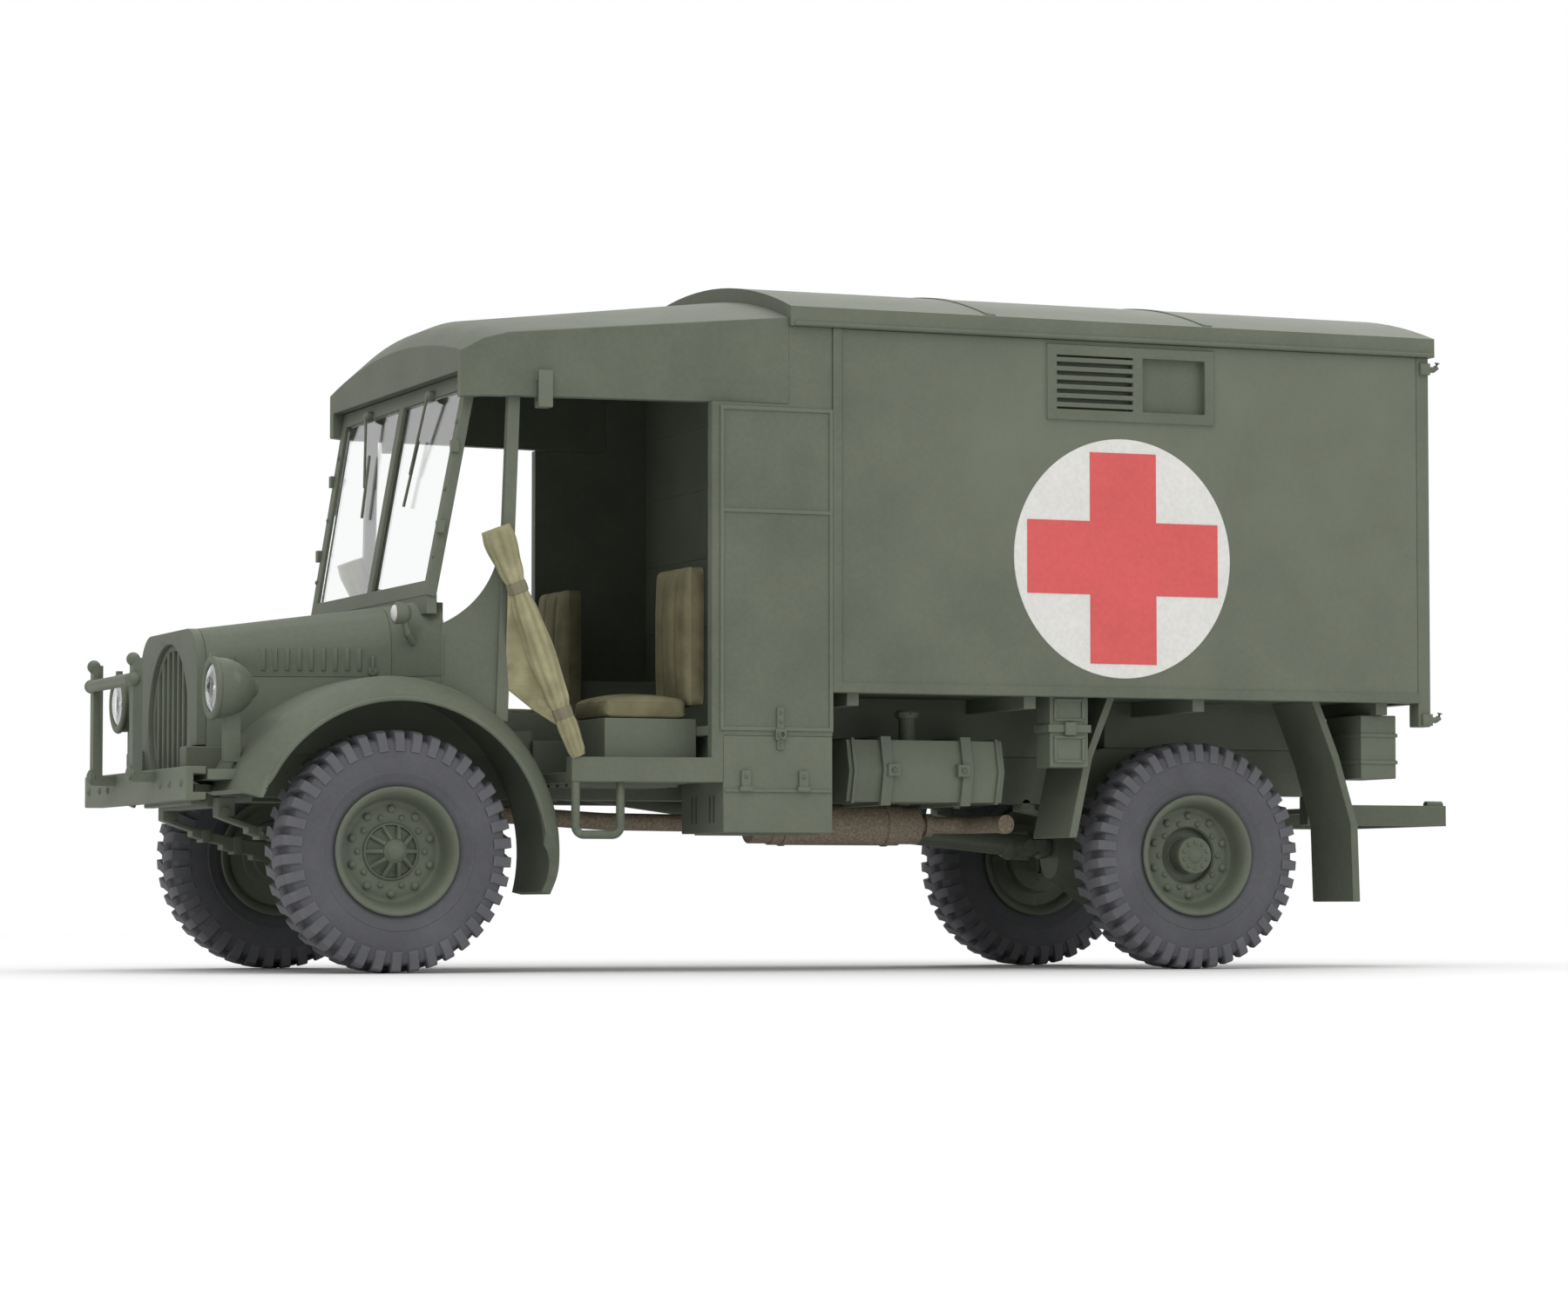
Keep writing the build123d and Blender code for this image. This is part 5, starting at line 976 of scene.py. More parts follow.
SIDE_LAMP = (16.0, 0.7, 28.6)  # its face, measured from the front axle
SIDE_LAMP_STAY = ((16.0, 1.6, 28.0), (15.8, 1.8, 27.0), (14.9, 2.6, 26.3))
SIDE_LAMP_SHELL = ((0, 0), (0, 0.72), (-0.04, 0.88), (0.2, 0.9), (0.9, 0.82), (1.3, 0.5), (1.45, 0))
SIDE_LAMP_LENS = ((-0.02, 0), (-0.02, 0.7), (0.12, 0.6), (0.24, 0.32), (0.27, 0))


def make_side_lamps():
    shells = bmesh.new()
    lenses = bmesh.new()
    face = behind_front(*SIDE_LAMP)
    add_lathe(shells, face, BACKWARD, SIDE_LAMP_SHELL, 32)
    add_tube(shells, [behind_front(*point) for point in SIDE_LAMP_STAY], 0.3)
    add_lathe(lenses, face, FORWARD, SIDE_LAMP_LENS, 32)
    add_mirror(shells)
    add_mirror(lenses)
    finish_piece("side_lamp_shells", shells)
    finish_piece("side_lamp_lenses", lenses, lens_white)


GUARD_LOW, GUARD_HIGH = corners("brush_guard")
GUARD_POST_X = 6.6
GUARD_POST_Y = GUARD_LOW.y + 0.55
GUARD_TUBE_Z = 23.4
KNOB_Z = 15.9
KNOB_PROFILE = ((-0.3, 0), (-0.3, 0.42), (0.2, 0.42), (0.4, 0.62), (0.75, 0.6), (0.9, 0.3), (0.93, 0))
GUSSET = ((9.6, -14.9, 14.3), (13.6, -14.9, 14.3), (9.6, -11.2, 14.3))  # behind the bumper
BUMPER_BOLTS_X = (8.7, 11.5, 15.2)


def make_guard_fittings():
    mesh = bmesh.new()
    add_ball(mesh, (GUARD_POST_X, GUARD_POST_Y + 0.1, GUARD_HIGH.z - 0.1), 0.56)
    add_ball(mesh, (GUARD_HIGH.x - 0.1, GUARD_POST_Y, GUARD_TUBE_Z), 0.58)
    add_lathe(mesh, (GUARD_POST_X, GUARD_POST_Y + 0.5, KNOB_Z), FORWARD, KNOB_PROFILE, 24)
    add_prism(mesh, [behind_front(*point) for point in GUSSET], (0, 0, 0.6))
    for x in BUMPER_BOLTS_X:
        add_dome(mesh, behind_front(x, -16.4, 14.9), FORWARD, 0.3, 0.22)
    add_mirror(mesh)
    finish_piece("guard_fittings", mesh)


BONNET_SIDE = ((9.2, -12.8), (13.6, 1.2))  # lower edge of a bonnet side, as (x, back from the front axle)
LOUVRES = 9
LOUVRE_SPAN = (0.28, 0.80)  # shares of the side's length
LOUVRE_ZS = (24.1, 25.9)
CATCH_SHARES = (0.14, 0.9)
CATCH_Z = 24.0
CATCH_PROFILE = ((-0.1, 0), (-0.1, 0.4), (0.15, 0.4), (0.3, 0.25), (0.3, 0))
SPINE = ((0, -12.7, 27.52), (0, 1.1, 29.34))  # along the bonnet's top, from the front axle
SPINE_SECTION = ((-0.28, 0, 0), (0.28, 0, 0), (0.2, 0, 0.2), (-0.2, 0, 0.2))


def make_bonnet_fittings():
    mesh = bmesh.new()
    start, end = [behind_front(x, y, 0) for x, y in BONNET_SIDE]
    run = end - start
    along = run.normalized()
    out = Vector((along.y, -along.x, 0))
    for share in evenly(*LOUVRE_SPAN, LOUVRES - 1):
        foot = start + run * share + Vector((0, 0, LOUVRE_ZS[0]))
        wedge = (foot - out * 0.1, foot + along * 0.55 - out * 0.1, foot + along * 0.5 + out * 0.22)
        add_prism(mesh, wedge, (0, 0, LOUVRE_ZS[1] - LOUVRE_ZS[0]))
    for share in CATCH_SHARES:
        foot = start + run * share + Vector((0, 0, CATCH_Z))
        add_lathe(mesh, foot, out, CATCH_PROFILE, 16)
        add_tube(mesh, (foot + out * 0.25, foot + out * 0.3 + Vector((0, 0, 1.3))), 0.14, segments=8)
    add_mirror(mesh)
    spine = [behind_front(*point) for point in SPINE]
    add_sleeve(mesh, [[point + Vector(corner) for corner in SPINE_SECTION] for point in spine])
    finish_piece("bonnet_fittings", mesh, soft=FINE_EDGE)


WING_LOW, WING_HIGH = corners("front_wing_left")
WING_CROWN_R = WING_HIGH.z - AXLE_Z
WING_EDGE_R = 12.0
WING_BEAD_R = 0.2
WING_BEAD_ANGLES = (8.6, 159.8)  # up from behind the wheel to its front
INNER_WING_LOW_Z = 17.6  # below the rail's top
INNER_WING_REAR = (14.3, 19.6)  # the corner at the foot well, back from the front axle, and its height
SCUTTLE_SIDE = (BONNET_SIDE[1], (16.9, 4.6))
PLATE = 0.25
PLATE_INSET = 0.06  # behind the bonnet's and the scuttle's face
PLATE_DROP = 0.15  # under the wing's crown
PLATE_TOP_Z = 23.9
HEEL_PLATE = ((-21.3, 35.5, 19.1), (21.3, 35.5 + PLATE, 24.2))  # behind the seats
ARC_STEPS = 48


def under_crown(y):
    """Height just under the wing's crown, at a place back from the front axle."""
    return AXLE_Z + math.sqrt(max(WING_CROWN_R**2 - y**2, 0)) - PLATE_DROP


def make_wing_fittings():
    """Rolled wing edges, and plates that close the arches, the engine's sides and the seats' deck."""
    beads = bmesh.new()
    plates = bmesh.new()
    first, last = [math.radians(angle) for angle in WING_BEAD_ANGLES]
    rear_y, rear_z = INNER_WING_REAR
    arch_start = -math.sqrt(WING_CROWN_R**2 - (INNER_WING_LOW_Z - AXLE_Z) ** 2)
    arch_end = math.sqrt(WING_CROWN_R**2 - (rear_z - AXLE_Z) ** 2)
    edge_x = WING_HIGH.x - SUNK
    points = []
    for angle in evenly(first, last, ARC_STEPS):
        y, rise = WING_EDGE_R * math.cos(angle), WING_EDGE_R * math.sin(angle)
        points.append(behind_front(edge_x, y, AXLE_Z + rise))
    add_tube(beads, points, WING_BEAD_R, segments=10, fading=3)
    outline = [(y, under_crown(y)) for y in evenly(arch_start, arch_end, ARC_STEPS)]
    outline += [(rear_y, rear_z), (rear_y, INNER_WING_LOW_Z)]
    inner_x = WING_LOW.x - SUNK
    add_prism(plates, [behind_front(inner_x, y, z) for y, z in outline], (PLATE, 0, 0))
    for line in (BONNET_SIDE, SCUTTLE_SIDE):
        places = evenly(line[0][1], line[1][1], ARC_STEPS)
        edge = [(y, max(under_crown(y), INNER_WING_LOW_Z)) for y in places]
        outline = [(places[0], PLATE_TOP_Z)] + edge + [(places[-1], PLATE_TOP_Z)]
        points = [behind_front(on_line(line, y) - PLATE_INSET, y, z) for y, z in outline]
        add_prism(plates, points, (-PLATE, 0, 0))
    add_mirror(beads)
    add_mirror(plates)
    add_box(plates, *[behind_front(*corner) for corner in HEEL_PLATE])
    finish_piece("wing_edge_beads", beads)
    finish_piece("closing_plates", plates)


PILLAR_FOOT = (18.1, 8.9, 20.0)  # on the wing, measured from the front axle
PILLAR_HEAD = (19.1, 9.7, 50.3)  # under the roof
PILLAR_HALF_SIZE = (0.35, 0.5)
CHEEK_LINE = ((16.75, 4.4), (18.45, 9.1))  # the cheek's ends, as (x, back from the front axle)
SWEEP_CENTRE = (1.25, 34.6)  # of the cheek's hollow upper edge, as (back from the front axle, height)
SWEEP_R = 7.5
SWEEP_END = 8.74
SWEEP_STEPS = 32


def make_door_pillars():
    """The pillar ahead of each doorway, and the cheek with a hollow edge that joins it to the scuttle."""
    mesh = bmesh.new()
    sweep_y, sweep_z = SWEEP_CENTRE
    places = evenly(CHEEK_LINE[0][1], SWEEP_END, SWEEP_STEPS)
    edge = [(y, sweep_z - math.sqrt(SWEEP_R**2 - (y - sweep_y) ** 2)) for y in places]
    edge.append((CHEEK_LINE[1][1], edge[-1][1]))
    outline = edge + [(y, under_crown(y)) for y, _ in reversed(edge)]
    across, along = PILLAR_HALF_SIZE
    square = ((-across, -along, 0), (across, -along, 0), (across, along, 0), (-across, along, 0))
    ends = [behind_front(*end) for end in (PILLAR_FOOT, PILLAR_HEAD)]
    add_sleeve(mesh, [[end + Vector(corner) for corner in square] for end in ends])
    points = [behind_front(on_line(CHEEK_LINE, y), y, z) for y, z in outline]
    add_prism(mesh, points, (-PLATE, 0, 0))
    add_mirror(mesh)
    finish_piece("door_pillars", mesh, soft=FINE_EDGE)


SCREEN_LINE = ((3.2, 30.05), (6.4, 48.0))  # foot and head, as (back from the front axle, height)
SCREEN_SEAL = ((-16.4, 3.25, 28.6), (16.4, 4.1, 30.15))  # corners, back from the front axle
SCREEN_SLOPE = (0, -1, 0.18)
WIPER_PIVOT = (8.6, 46.9, 0.5)  # (x, height, ahead of the screen)
WIPER_TIP = (6.4, 40.6, 0.16)
WIPER_BLADE = ((5.9, 38.0, 0.06), (6.9, 43.4, 0.06))
WIPER_BOSS = ((0, 0), (0, 0.45), (0.5, 0.45), (0.75, 0.25), (0.75, 0))
SCREEN_RIVET_X = 16.5
SCREEN_RIVET_ZS = (33.2, 38.6, 44.0)
SCREEN_CATCH_X = 17.0
SCREEN_CATCH_ZS = (35.5, 42.0)


def on_screen(x, height, ahead):
    """A point in front of the sloping windscreen."""
    return behind_front(x, on_line(SCREEN_LINE, height) - ahead, height)


def make_windscreen_fittings():
    mesh = bmesh.new()
    pivot = on_screen(*WIPER_PIVOT)
    add_lathe(mesh, pivot + Vector((0, 0.6, 0)), FORWARD, WIPER_BOSS, 20)
    add_tube(mesh, (pivot, on_screen(*WIPER_TIP)), 0.12, segments=8)
    add_tube(mesh, [on_screen(*end) for end in WIPER_BLADE], 0.13, segments=8)
    for height in SCREEN_RIVET_ZS:
        add_dome(mesh, on_screen(SCREEN_RIVET_X, height, -0.02), SCREEN_SLOPE, 0.2, 0.18)
    for height in SCREEN_CATCH_ZS:
        add_block(mesh, on_screen(SCREEN_CATCH_X, height, 0.0), (0.35, 0.3, 0.5))
    add_mirror(mesh)
    add_box(mesh, *[behind_front(*corner) for corner in SCREEN_SEAL])
    finish_piece("windscreen_fittings", mesh, soft=FINE_EDGE)


DASH = ((-13.6, 4.55, 26.2), (13.6, 5.5, 29.7))  # corners, back from the front axle
DIALS = ((-7.6, 1.0), (-5.2, 0.8), (-3.2, 0.8))  # (x, radius)
LEVERS = (
    ((1.0, 12.6, 20.2), (1.2, 12.2, 23.6), (1.8, 10.8, 27.4)),
    ((4.2, 14.4, 20.2), (4.2, 13.2, 24.4), (4.2, 12.6, 26.4)),
)
LEVER_BOOT = ((0, 0), (0, 1.0), (0.25, 0.9), (0.8, 0.3), (0.8, 0))
PEDAL_XS = (-14.2, -10.4, -8.4)


def make_cab_controls():
    mesh = bmesh.new()
    add_box(mesh, *[behind_front(*corner) for corner in DASH])
    for x, radius in DIALS:
        bezel = ((0, 0), (0, radius), (0.25, radius), (0.25, radius * 0.82), (0.08, radius * 0.8), (0.08, 0))
        add_lathe(mesh, behind_front(x, 5.45, 28.0), BACKWARD, bezel, 28)
    for points in LEVERS:
        bar = [behind_front(*point) for point in points]
        add_tube(mesh, bar, 0.24)
        add_ball(mesh, bar[-1], 0.48)
        add_lathe(mesh, bar[0], UP, LEVER_BOOT, 20)
    for x in PEDAL_XS:
        pad = behind_front(x, 7.2, 21.4)
        add_block(mesh, pad, (0.55, 0.15, 0.6))
        add_tube(mesh, (pad, pad + Vector((0, -2.2, -1.6))), 0.2, segments=8)
    finish_piece("cab_controls", mesh, soft=FINE_EDGE)


# Chassis fittings

SPRING_X = 8.7
SPRING_HALF_WIDTH = 0.85
LEAF = 0.4
LEAVES = 4
SPRING_SETS = (  # (axle place, underside, arc radius, U-bolt foot, U-bolt spread, clip places, end place)
    (FRONT_Y, 8.9, 33.0, 7.1, 1.25, ((5.5, 3), (8.2, 2)), 11.3),
    (REAR_Y, 10.95, 62.0, 8.0, 1.65, ((5.4, 3), (8.2, 2)), 11.9),
)
U_BOLT_X = 1.05  # a leg's place beside the spring's middle
U_BOLT_R = 0.2
CLIP_HALF_WIDTH = SPRING_HALF_WIDTH + 0.14
BOTH_WAYS = (-1, 1)


def arc_rise(radius, reach):
    """How far an arc has risen at a reach from its lowest point."""
    return radius - math.sqrt(radius**2 - reach**2)


def add_u_bolt(mesh, y, foot, top):
    """A U-bolt over a spring, with a nut under each leg."""
    leg = [(U_BOLT_X, foot - 0.4), (U_BOLT_X, top + 0.3), (0.8, top + 0.55)]
    hoop = [(-across, z) for across, z in leg] + leg[::-1]
    add_tube(mesh, [(SPRING_X + across, y, z) for across, z in hoop], U_BOLT_R, segments=10)
    for hand in BOTH_WAYS:
        add_stud(mesh, (SPRING_X + hand * U_BOLT_X, y, foot + 0.02), DOWN, 0.36, 0.3, HEXAGON)


def make_spring_fittings():
    mesh = bmesh.new()
    for axle_y, underside, arc, foot, spread, clips, end in SPRING_SETS:
        top = underside + LEAVES * LEAF
        plate_y = around(axle_y, spread + 0.3)
        add_spans(mesh, around(SPRING_X, 1.2), plate_y, (top, top + 0.35))
        add_spans(mesh, around(SPRING_X, 1.3), plate_y, (foot, foot + 0.3))
        for hand in BOTH_WAYS:
            add_u_bolt(mesh, axle_y + hand * spread, foot, top)
        for reach, count in clips:
            low = underside + (LEAVES - count) * LEAF + arc_rise(arc, reach) - 0.12
            high = top + arc_rise(arc, reach) + 0.14
            for hand in BOTH_WAYS:
                y = axle_y + hand * reach
                add_spans(mesh, around(SPRING_X, CLIP_HALF_WIDTH), around(y, 0.35), (low, high))
                rivet = (SPRING_X + CLIP_HALF_WIDTH, y, (low + high) / 2)
                add_dome(mesh, rivet, OUTWARD, 0.2, 0.16)
        for hand in BOTH_WAYS:
            pin = (SPRING_X - 1.0, axle_y + hand * end, top + arc_rise(arc, end) + 0.3)
            add_stud(mesh, pin, OUTWARD, 0.42, 2.0)
    add_mirror(mesh)
    finish_piece("spring_fittings", mesh, soft=FINE_EDGE)


DIFF_R = 4.5
DIFF_BOLTS = 14
DIFF_CENTRE = behind_rear(0, -0.2, AXLE_Z)
DIFF_BOSS = ((0, 0.9), (0.25, 0.9), (0.3, 0.7), (0.3, 0))
DIFF_PLUG = ((-0.3, 0.5), (0.25, 0.5), (0.25, 0.3), (0.5, 0.3), (0.5, 0))
AXLE_COLLAR_XS = (6.4, 10.2)
JOINTS = ((19.4, 15.3), (36.4, 13.4), (63.3, 10.6))  # shaft joints, back from the front axle, and height
YOKES = (  # (way along the shaft, reach to an arm, half size of an arm)
    (-1, Vector((0, 0, 1.0)), (0.5, 0.85, 0.22)),
    (1, Vector((1.0, 0, 0)), (0.22, 0.85, 0.5)),
)
JOINT_COLLAR = ((-0.3, 0), (-0.3, 1.15), (0.2, 1.15), (0.7, 0.95), (0.7, 0))


def make_drive_fittings():
    mesh = bmesh.new()
    for x in AXLE_COLLAR_XS:
        add_ring(mesh, behind_rear(x, 0, AXLE_Z), OUTWARD, (0, 0.5), (1.2, 1.56), 32)
    add_mirror(mesh)
    add_ring(mesh, DIFF_CENTRE, BACKWARD, (-0.35, 0.35), (DIFF_R - 0.2, DIFF_R + 0.26), 72)
    for angle in turns(DIFF_BOLTS, 0.5):
        offset = Vector((math.cos(angle), 0, math.sin(angle))) * (DIFF_R + 0.02)
        add_stud(mesh, DIFF_CENTRE + offset + Vector((0, 0.33, 0)), BACKWARD, 0.24, 0.2, HEXAGON)
    add_lathe(mesh, behind_rear(0, 3.2, AXLE_Z), BACKWARD, DIFF_BOSS, HEXAGON)
    add_lathe(mesh, behind_rear(0, 1.4, AXLE_Z - 4.1), (0, 0.3, -1), DIFF_PLUG, 12)
    for place, height in JOINTS:
        for way, reach, half in YOKES:
            for hand in BOTH_WAYS:
                add_block(mesh, behind_front(0, place + way * 0.75, height) + reach * hand, half)
            add_lathe(mesh, behind_front(0, place + way * 1.6, height), (0, way, 0), JOINT_COLLAR, 24)
    finish_piece("drive_fittings", mesh, soft=FINE_EDGE)


SUMP_FLANGE = ((-3.9, -7.3, 14.7), (3.9, 8.8, 15.0))  # corners, from the front axle
SUMP_BOLT_X = 3.65
SUMP_BOLTS = 7
GEARBOX_FLANGES = (10.6, 16.6)  # back from the front axle
GEARBOX_RIBS = (12.4, 13.8, 15.2)


def make_engine_fittings():
    mesh = bmesh.new()
    low, high = [behind_front(*corner) for corner in SUMP_FLANGE]
    for y in evenly(low.y + 0.6, high.y - 0.6, SUMP_BOLTS - 1):
        add_stud(mesh, (SUMP_BOLT_X, y, low.z + 0.02), DOWN, 0.22, 0.22, HEXAGON)
    add_mirror(mesh)
    add_box(mesh, low, high)
    add_drain_plug(mesh, behind_front(0.8, 6.4, 12.0), 0.55, 0.3)
    add_ring(mesh, behind_front(0, 9.2, 16.4), BACKWARD, (-0.25, 0.25), (3.0, 3.75), 40)
    for place in GEARBOX_FLANGES:
        add_box(mesh, behind_front(-2.65, place - 0.25, 12.85), behind_front(2.65, place + 0.25, 18.3))
    for place in GEARBOX_RIBS:
        add_box(mesh, behind_front(-2.2, place - 0.12, 12.84), behind_front(2.2, place + 0.12, 13.1))
    finish_piece("engine_fittings", mesh, soft=FINE_EDGE)


TANK_LOW, TANK_HIGH = corners("fuel_tanks")
TANK_SECTION = ((10.4, 13.9), (17.6, 13.9), (18.3, 16.4), (17.6, 19.0), (10.4, 19.0))  # (x, height)
TANK_RIM = 0.24  # how far a rim stands out at the corners
TANK_BUCKLE_YS = (42.85, 49.15)
FILLER = behind_front(14.0, 46.0, 21.1)
FILLER_CAP = ((-0.15, 0), (-0.15, 0.95), (0.35, 0.95), (0.5, 0.8), (0.5, 0))
FILLER_GRIPS = 3


def make_tank_fittings():
    mesh = bmesh.new()
    middle = sum((Vector(corner) for corner in TANK_SECTION), Vector((0, 0))) / len(TANK_SECTION)
    rim = []
    for corner in TANK_SECTION:
        rim.append(Vector(corner) + (Vector(corner) - middle).normalized() * TANK_RIM)
    for y in (TANK_LOW.y + 0.35, TANK_HIGH.y - 0.65):
        add_prism(mesh, [(x, y, z) for x, z in rim], (0, 0.3, 0))
    for place in TANK_BUCKLE_YS:
        buckle = behind_front(18.45, place, 16.5)
        add_block(mesh, buckle, (0.3, 0.55, 0.5))
        add_dome(mesh, buckle + Vector((0.3, 0, 0)), OUTWARD, 0.24, 0.18)
    add_drain_plug(mesh, behind_front(13.0, 51.0, 13.9), 0.5, 0.28)
    add_mirror(mesh)
    add_lathe(mesh, FILLER, UP, FILLER_CAP, 24)
    raised = FILLER + Vector((0, 0, 0.2))
    for turn in range(FILLER_GRIPS):
        angle = math.pi * turn / FILLER_GRIPS
        grip = Vector((math.cos(angle), math.sin(angle), 0)) * 1.02
        add_tube(mesh, (raised + grip, raised - grip), 0.14, segments=8)
    finish_piece("tank_fittings", mesh, soft=FINE_EDGE)


EXHAUST_X, EXHAUST_Z = 6.7, 12.2
EXHAUST_BANDS = (  # (back from the front axle, radius, width)
    (33.4, 0.98, 0.7),
    (51.0, 0.98, 0.7),
    (37.6, 1.84, 0.35),
    (47.0, 1.84, 0.35),
)
SILENCER_SEAM = ((6.5, 35.2, 13.8), (6.9, 49.4, 14.07))  # corners, from the front axle
TAIL_PIPE = (13.2, 55.37, 12.2)
TAIL_PIPE_END = ((-0.5, 0.8), (0.2, 0.8), (0.22, 0.62), (0.0, 0.6), (0.0, 0.0))


def make_exhaust_fittings():
    mesh = bmesh.new()
    for place, radius, width in EXHAUST_BANDS:
        half = width / 2
        band = ((-half, 0.3), (-half, radius), (half, radius), (half, 0.3))
        add_lathe(mesh, behind_front(EXHAUST_X, place, EXHAUST_Z), BACKWARD, band, 40)
    add_box(mesh, *[behind_front(*corner) for corner in SILENCER_SEAM])
    add_lathe(mesh, behind_front(*TAIL_PIPE), (1, 0.15, 0), TAIL_PIPE_END, 32)
    finish_piece("exhaust_fittings", mesh, exhaust_rust)


CAN_X = (18.5, 21.3)  # the can ahead of the left rear wheel
CAN_Y = (FRONT_Y + 55.7, FRONT_Y + 59.4)
CAN_PANEL_ZS = ((17.3, 19.3), (20.75, 22.4))
CAN_MARGIN = 0.45
CAN_FRAME = 0.25
CHEST_X = (14.5, 20.72)  # the chests behind the rear wheels
CHEST_Y = (REAR_Y + 14.42, REAR_Y + 18.0)
CHEST_BAND_ZS = (17.6, 19.9)


def make_under_body_fittings():
    mesh = bmesh.new()
    for z in CHEST_BAND_ZS:
        add_spans(mesh, CHEST_X, CHEST_Y, around(z, 0.16))
    add_spans(mesh, around(17.5, 0.35), (CHEST_Y[1] - 0.1, CHEST_Y[1] + 0.2), around(20.6, 0.6))
    add_mirror(mesh)
    low_y, high_y = CAN_Y
    add_box(mesh, (CAN_X[0] - 0.1, low_y - 0.1, 19.7), (CAN_X[1] + 0.12, high_y + 0.1, 20.35))
    face_x = (CAN_X[1] - 0.2, CAN_X[1] + 0.04)
    panel_y = (low_y + CAN_MARGIN, high_y - CAN_MARGIN)
    for heights in CAN_PANEL_ZS:
        add_spans(mesh, face_x, (panel_y[0], panel_y[0] + CAN_FRAME), heights)
        add_spans(mesh, face_x, (panel_y[1] - CAN_FRAME, panel_y[1]), heights)
        for z in heights:
            add_spans(mesh, face_x, panel_y, around(z, 0.12))
    clip_x = (CAN_X[1], CAN_X[1] + 0.35)
    add_spans(mesh, clip_x, around((low_y + high_y) / 2, 0.5), around(20.0, 0.55))
    finish_piece("under_body_fittings", mesh, soft=TRIM_EDGE)


STEP_LOW, STEP_HIGH = corners("rear_step")
STEP_TOP_Z = 14.2
STEP_BOLT_Z = 13.3


def make_step_fittings():
    mesh = bmesh.new()
    add_stud(mesh, (STEP_HIGH.x - 0.75, STEP_HIGH.y - 1.7, STEP_TOP_Z), BACKWARD, 0.42, 1.6)
    for y in (STEP_LOW.y + 0.8, STEP_LOW.y + 3.2):
        add_dome(mesh, (STEP_HIGH.x, y, STEP_BOLT_Z), OUTWARD, 0.36, 0.26)
    add_mirror(mesh)
    finish_piece("step_fittings", mesh, soft=FINE_EDGE)


# Markings

DISC_CENTRE = (62.0, 34.2)  # back from the front axle, and height
DISC_R = 10.0
CROSS_ARM = 8.8
CROSS_HALF_WIDTH = 3.05
PAINT_FILM = 0.05


def make_markings():
    arm, half = CROSS_ARM, CROSS_HALF_WIDTH
    disc = ((-0.02, 0), (-0.02, DISC_R), (PAINT_FILM, DISC_R - 0.04), (PAINT_FILM, 0))
    for hand, side in SIDES.items():
        face = behind_front(side * BODY_X, *DISC_CENTRE)
        mesh = bmesh.new()
        add_lathe(mesh, face, (side, 0, 0), disc, segments=160)
        finish_piece(f"marking_disc_{hand}", mesh, white_paint)
        mesh = bmesh.new()
        outline = []
        for turn in range(4):
            spin = Matrix.Rotation(turn * math.pi / 2, 3, "X")
            for corner in ((0, arm, -half), (0, arm, half), (0, half, half)):
                outline.append(face + spin @ Vector(corner))
        add_prism(mesh, outline, (side * 2 * PAINT_FILM, 0, 0))
        finish_piece(f"marking_cross_{hand}", mesh, red_paint)


# Floor, light and camera

FLOOR_R = 0.75
FLOOR_FADE = (0.16, 0.70)  # the floor fades into the white background between these radii
WORLD_LIGHT = 0.42
LAMPS = (  # (name, place in metres, size in metres, watts)
    ("key", (0.55, -0.42, 0.50), 0.45, 1.4),
    ("side", (0.70, 0.35, 0.22), 0.50, 0.9),
    ("top", (0.0, 0.0, 1.0), 1.8, 10.0),
    ("rear", (-0.55, 0.45, 0.45), 0.50, 1.2),
)
CAMERA_AZIMUTH = math.radians(68)
CAMERA_HEIGHT = 5.0  # the photograph looks up from below, so the camera stands at floor level
CAMERA_DISTANCE = 400.0
CAMERA_LENS = 107.0
CAMERA_AIM = Vector((0, 0, 27.0))


def floor_material():
    """Pale floor that takes the shadow and fades out into the white background."""
    material, tree, shader, coordinates = new_material("studio_floor")
    tone = noise(tree, coordinates, 3.0)
    tree.links.new(ramp(tree, tone, ((0.3, grey(0.90)), (0.7, grey(0.92)))), shader.inputs["Base Color"])
    set_gloss(shader, 0.75, 0.1)
    distance = tree.nodes.new("ShaderNodeVectorMath")
    distance.operation = "LENGTH"
    tree.links.new(coordinates, distance.inputs[0])
    fade = tree.nodes.new("ShaderNodeMapRange")
    fade.interpolation_type = "SMOOTHSTEP"
    for socket, value in zip(("From Min", "From Max", "To Min", "To Max"), (*FLOOR_FADE, 1.0, 0.0)):
        fade.inputs[socket].default_value = value
    tree.links.new(distance.outputs["Value"], fade.inputs["Value"])
    tree.links.new(fade.outputs["Result"], shader.inputs["Alpha"])
    return material


def make_floor():
    mesh = bmesh.new()
    bmesh.ops.create_circle(mesh, cap_ends=True, segments=96, radius=FLOOR_R)
    data = bpy.data.meshes.new("studio_floor")
    mesh.to_mesh(data)
    mesh.free()
    data.materials.append(floor_material())
    floor = bpy.data.objects.new("studio_floor", data)
    bpy.context.collection.objects.link(floor)


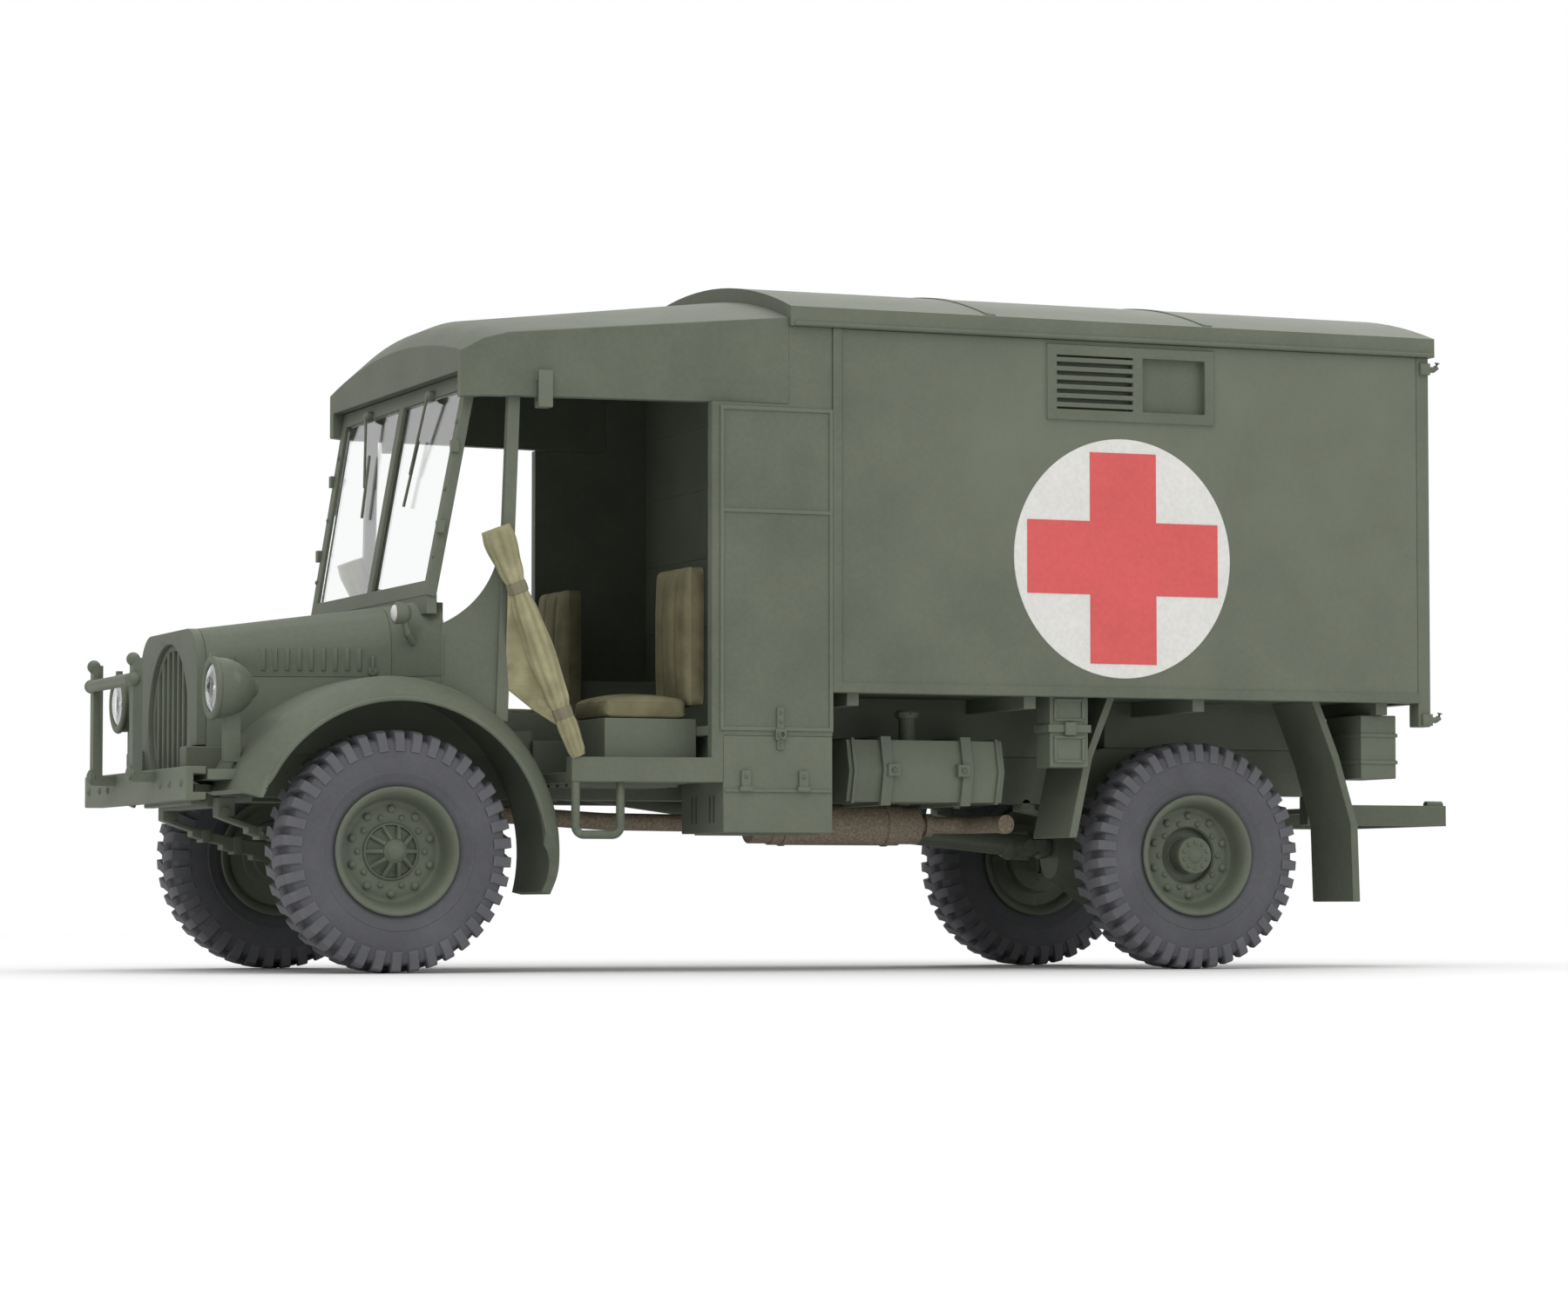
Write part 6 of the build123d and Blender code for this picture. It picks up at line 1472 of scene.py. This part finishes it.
def make_world():
    """Even light that the camera, mirrors and clear plastic see as plain white."""
    world = bpy.data.worlds.new("studio")
    bpy.context.scene.world = world
    world.use_nodes = True
    tree = world.node_tree
    background = tree.nodes["Background"]
    path = tree.nodes.new("ShaderNodeLightPath")
    seen = path.outputs["Is Camera Ray"]
    for other in ("Is Glossy Ray", "Is Transmission Ray"):
        either = tree.nodes.new("ShaderNodeMath")
        either.operation = "MAXIMUM"
        tree.links.new(seen, either.inputs[0])
        tree.links.new(path.outputs[other], either.inputs[1])
        seen = either.outputs["Value"]
    strength = tree.nodes.new("ShaderNodeMapRange")
    strength.inputs["To Min"].default_value = WORLD_LIGHT
    strength.inputs["To Max"].default_value = 1.0
    tree.links.new(seen, strength.inputs["Value"])
    background.inputs["Color"].default_value = (1.0, 1.0, 1.0, 1.0)
    tree.links.new(strength.outputs["Result"], background.inputs["Strength"])


def make_lamps():
    for name, place, size, watts in LAMPS:
        data = bpy.data.lights.new(f"{name}_light", "AREA")
        data.size = size
        data.energy = watts
        lamp = bpy.data.objects.new(f"{name}_light", data)
        lamp.location = place
        lamp.rotation_mode = "QUATERNION"
        lamp.rotation_quaternion = (CAMERA_AIM * MM - Vector(place)).to_track_quat("-Z", "Y")
        bpy.context.collection.objects.link(lamp)


def make_camera():
    data = bpy.data.cameras.new("camera")
    data.lens = CAMERA_LENS
    data.clip_start = 0.01
    camera = bpy.data.objects.new("camera", data)
    towards = Vector((math.sin(CAMERA_AZIMUTH), -math.cos(CAMERA_AZIMUTH), 0))
    place = towards * CAMERA_DISTANCE + Vector((0, 0, CAMERA_HEIGHT))
    camera.location = place * MM
    camera.rotation_mode = "QUATERNION"
    camera.rotation_quaternion = (CAMERA_AIM - place).to_track_quat("-Z", "Y")
    bpy.context.collection.objects.link(camera)
    bpy.context.scene.camera = camera


bpy.context.scene.view_settings.view_transform = "Standard"
dress_nodes()
for wheel in WHEELS:
    make_tyre(wheel)
    make_rim(wheel)
make_canvas_rolls()
make_seats()
make_cab_panels()
make_locker_fittings()
make_rear_door_fittings()
make_roof_seams()
make_rear_hooks()
make_headlamp_faces()
make_side_lamps()
make_guard_fittings()
make_bonnet_fittings()
make_wing_fittings()
make_door_pillars()
make_windscreen_fittings()
make_cab_controls()
make_spring_fittings()
make_drive_fittings()
make_engine_fittings()
make_tank_fittings()
make_exhaust_fittings()
make_under_body_fittings()
make_step_fittings()
make_markings()
make_floor()
make_world()
make_lamps()
make_camera()
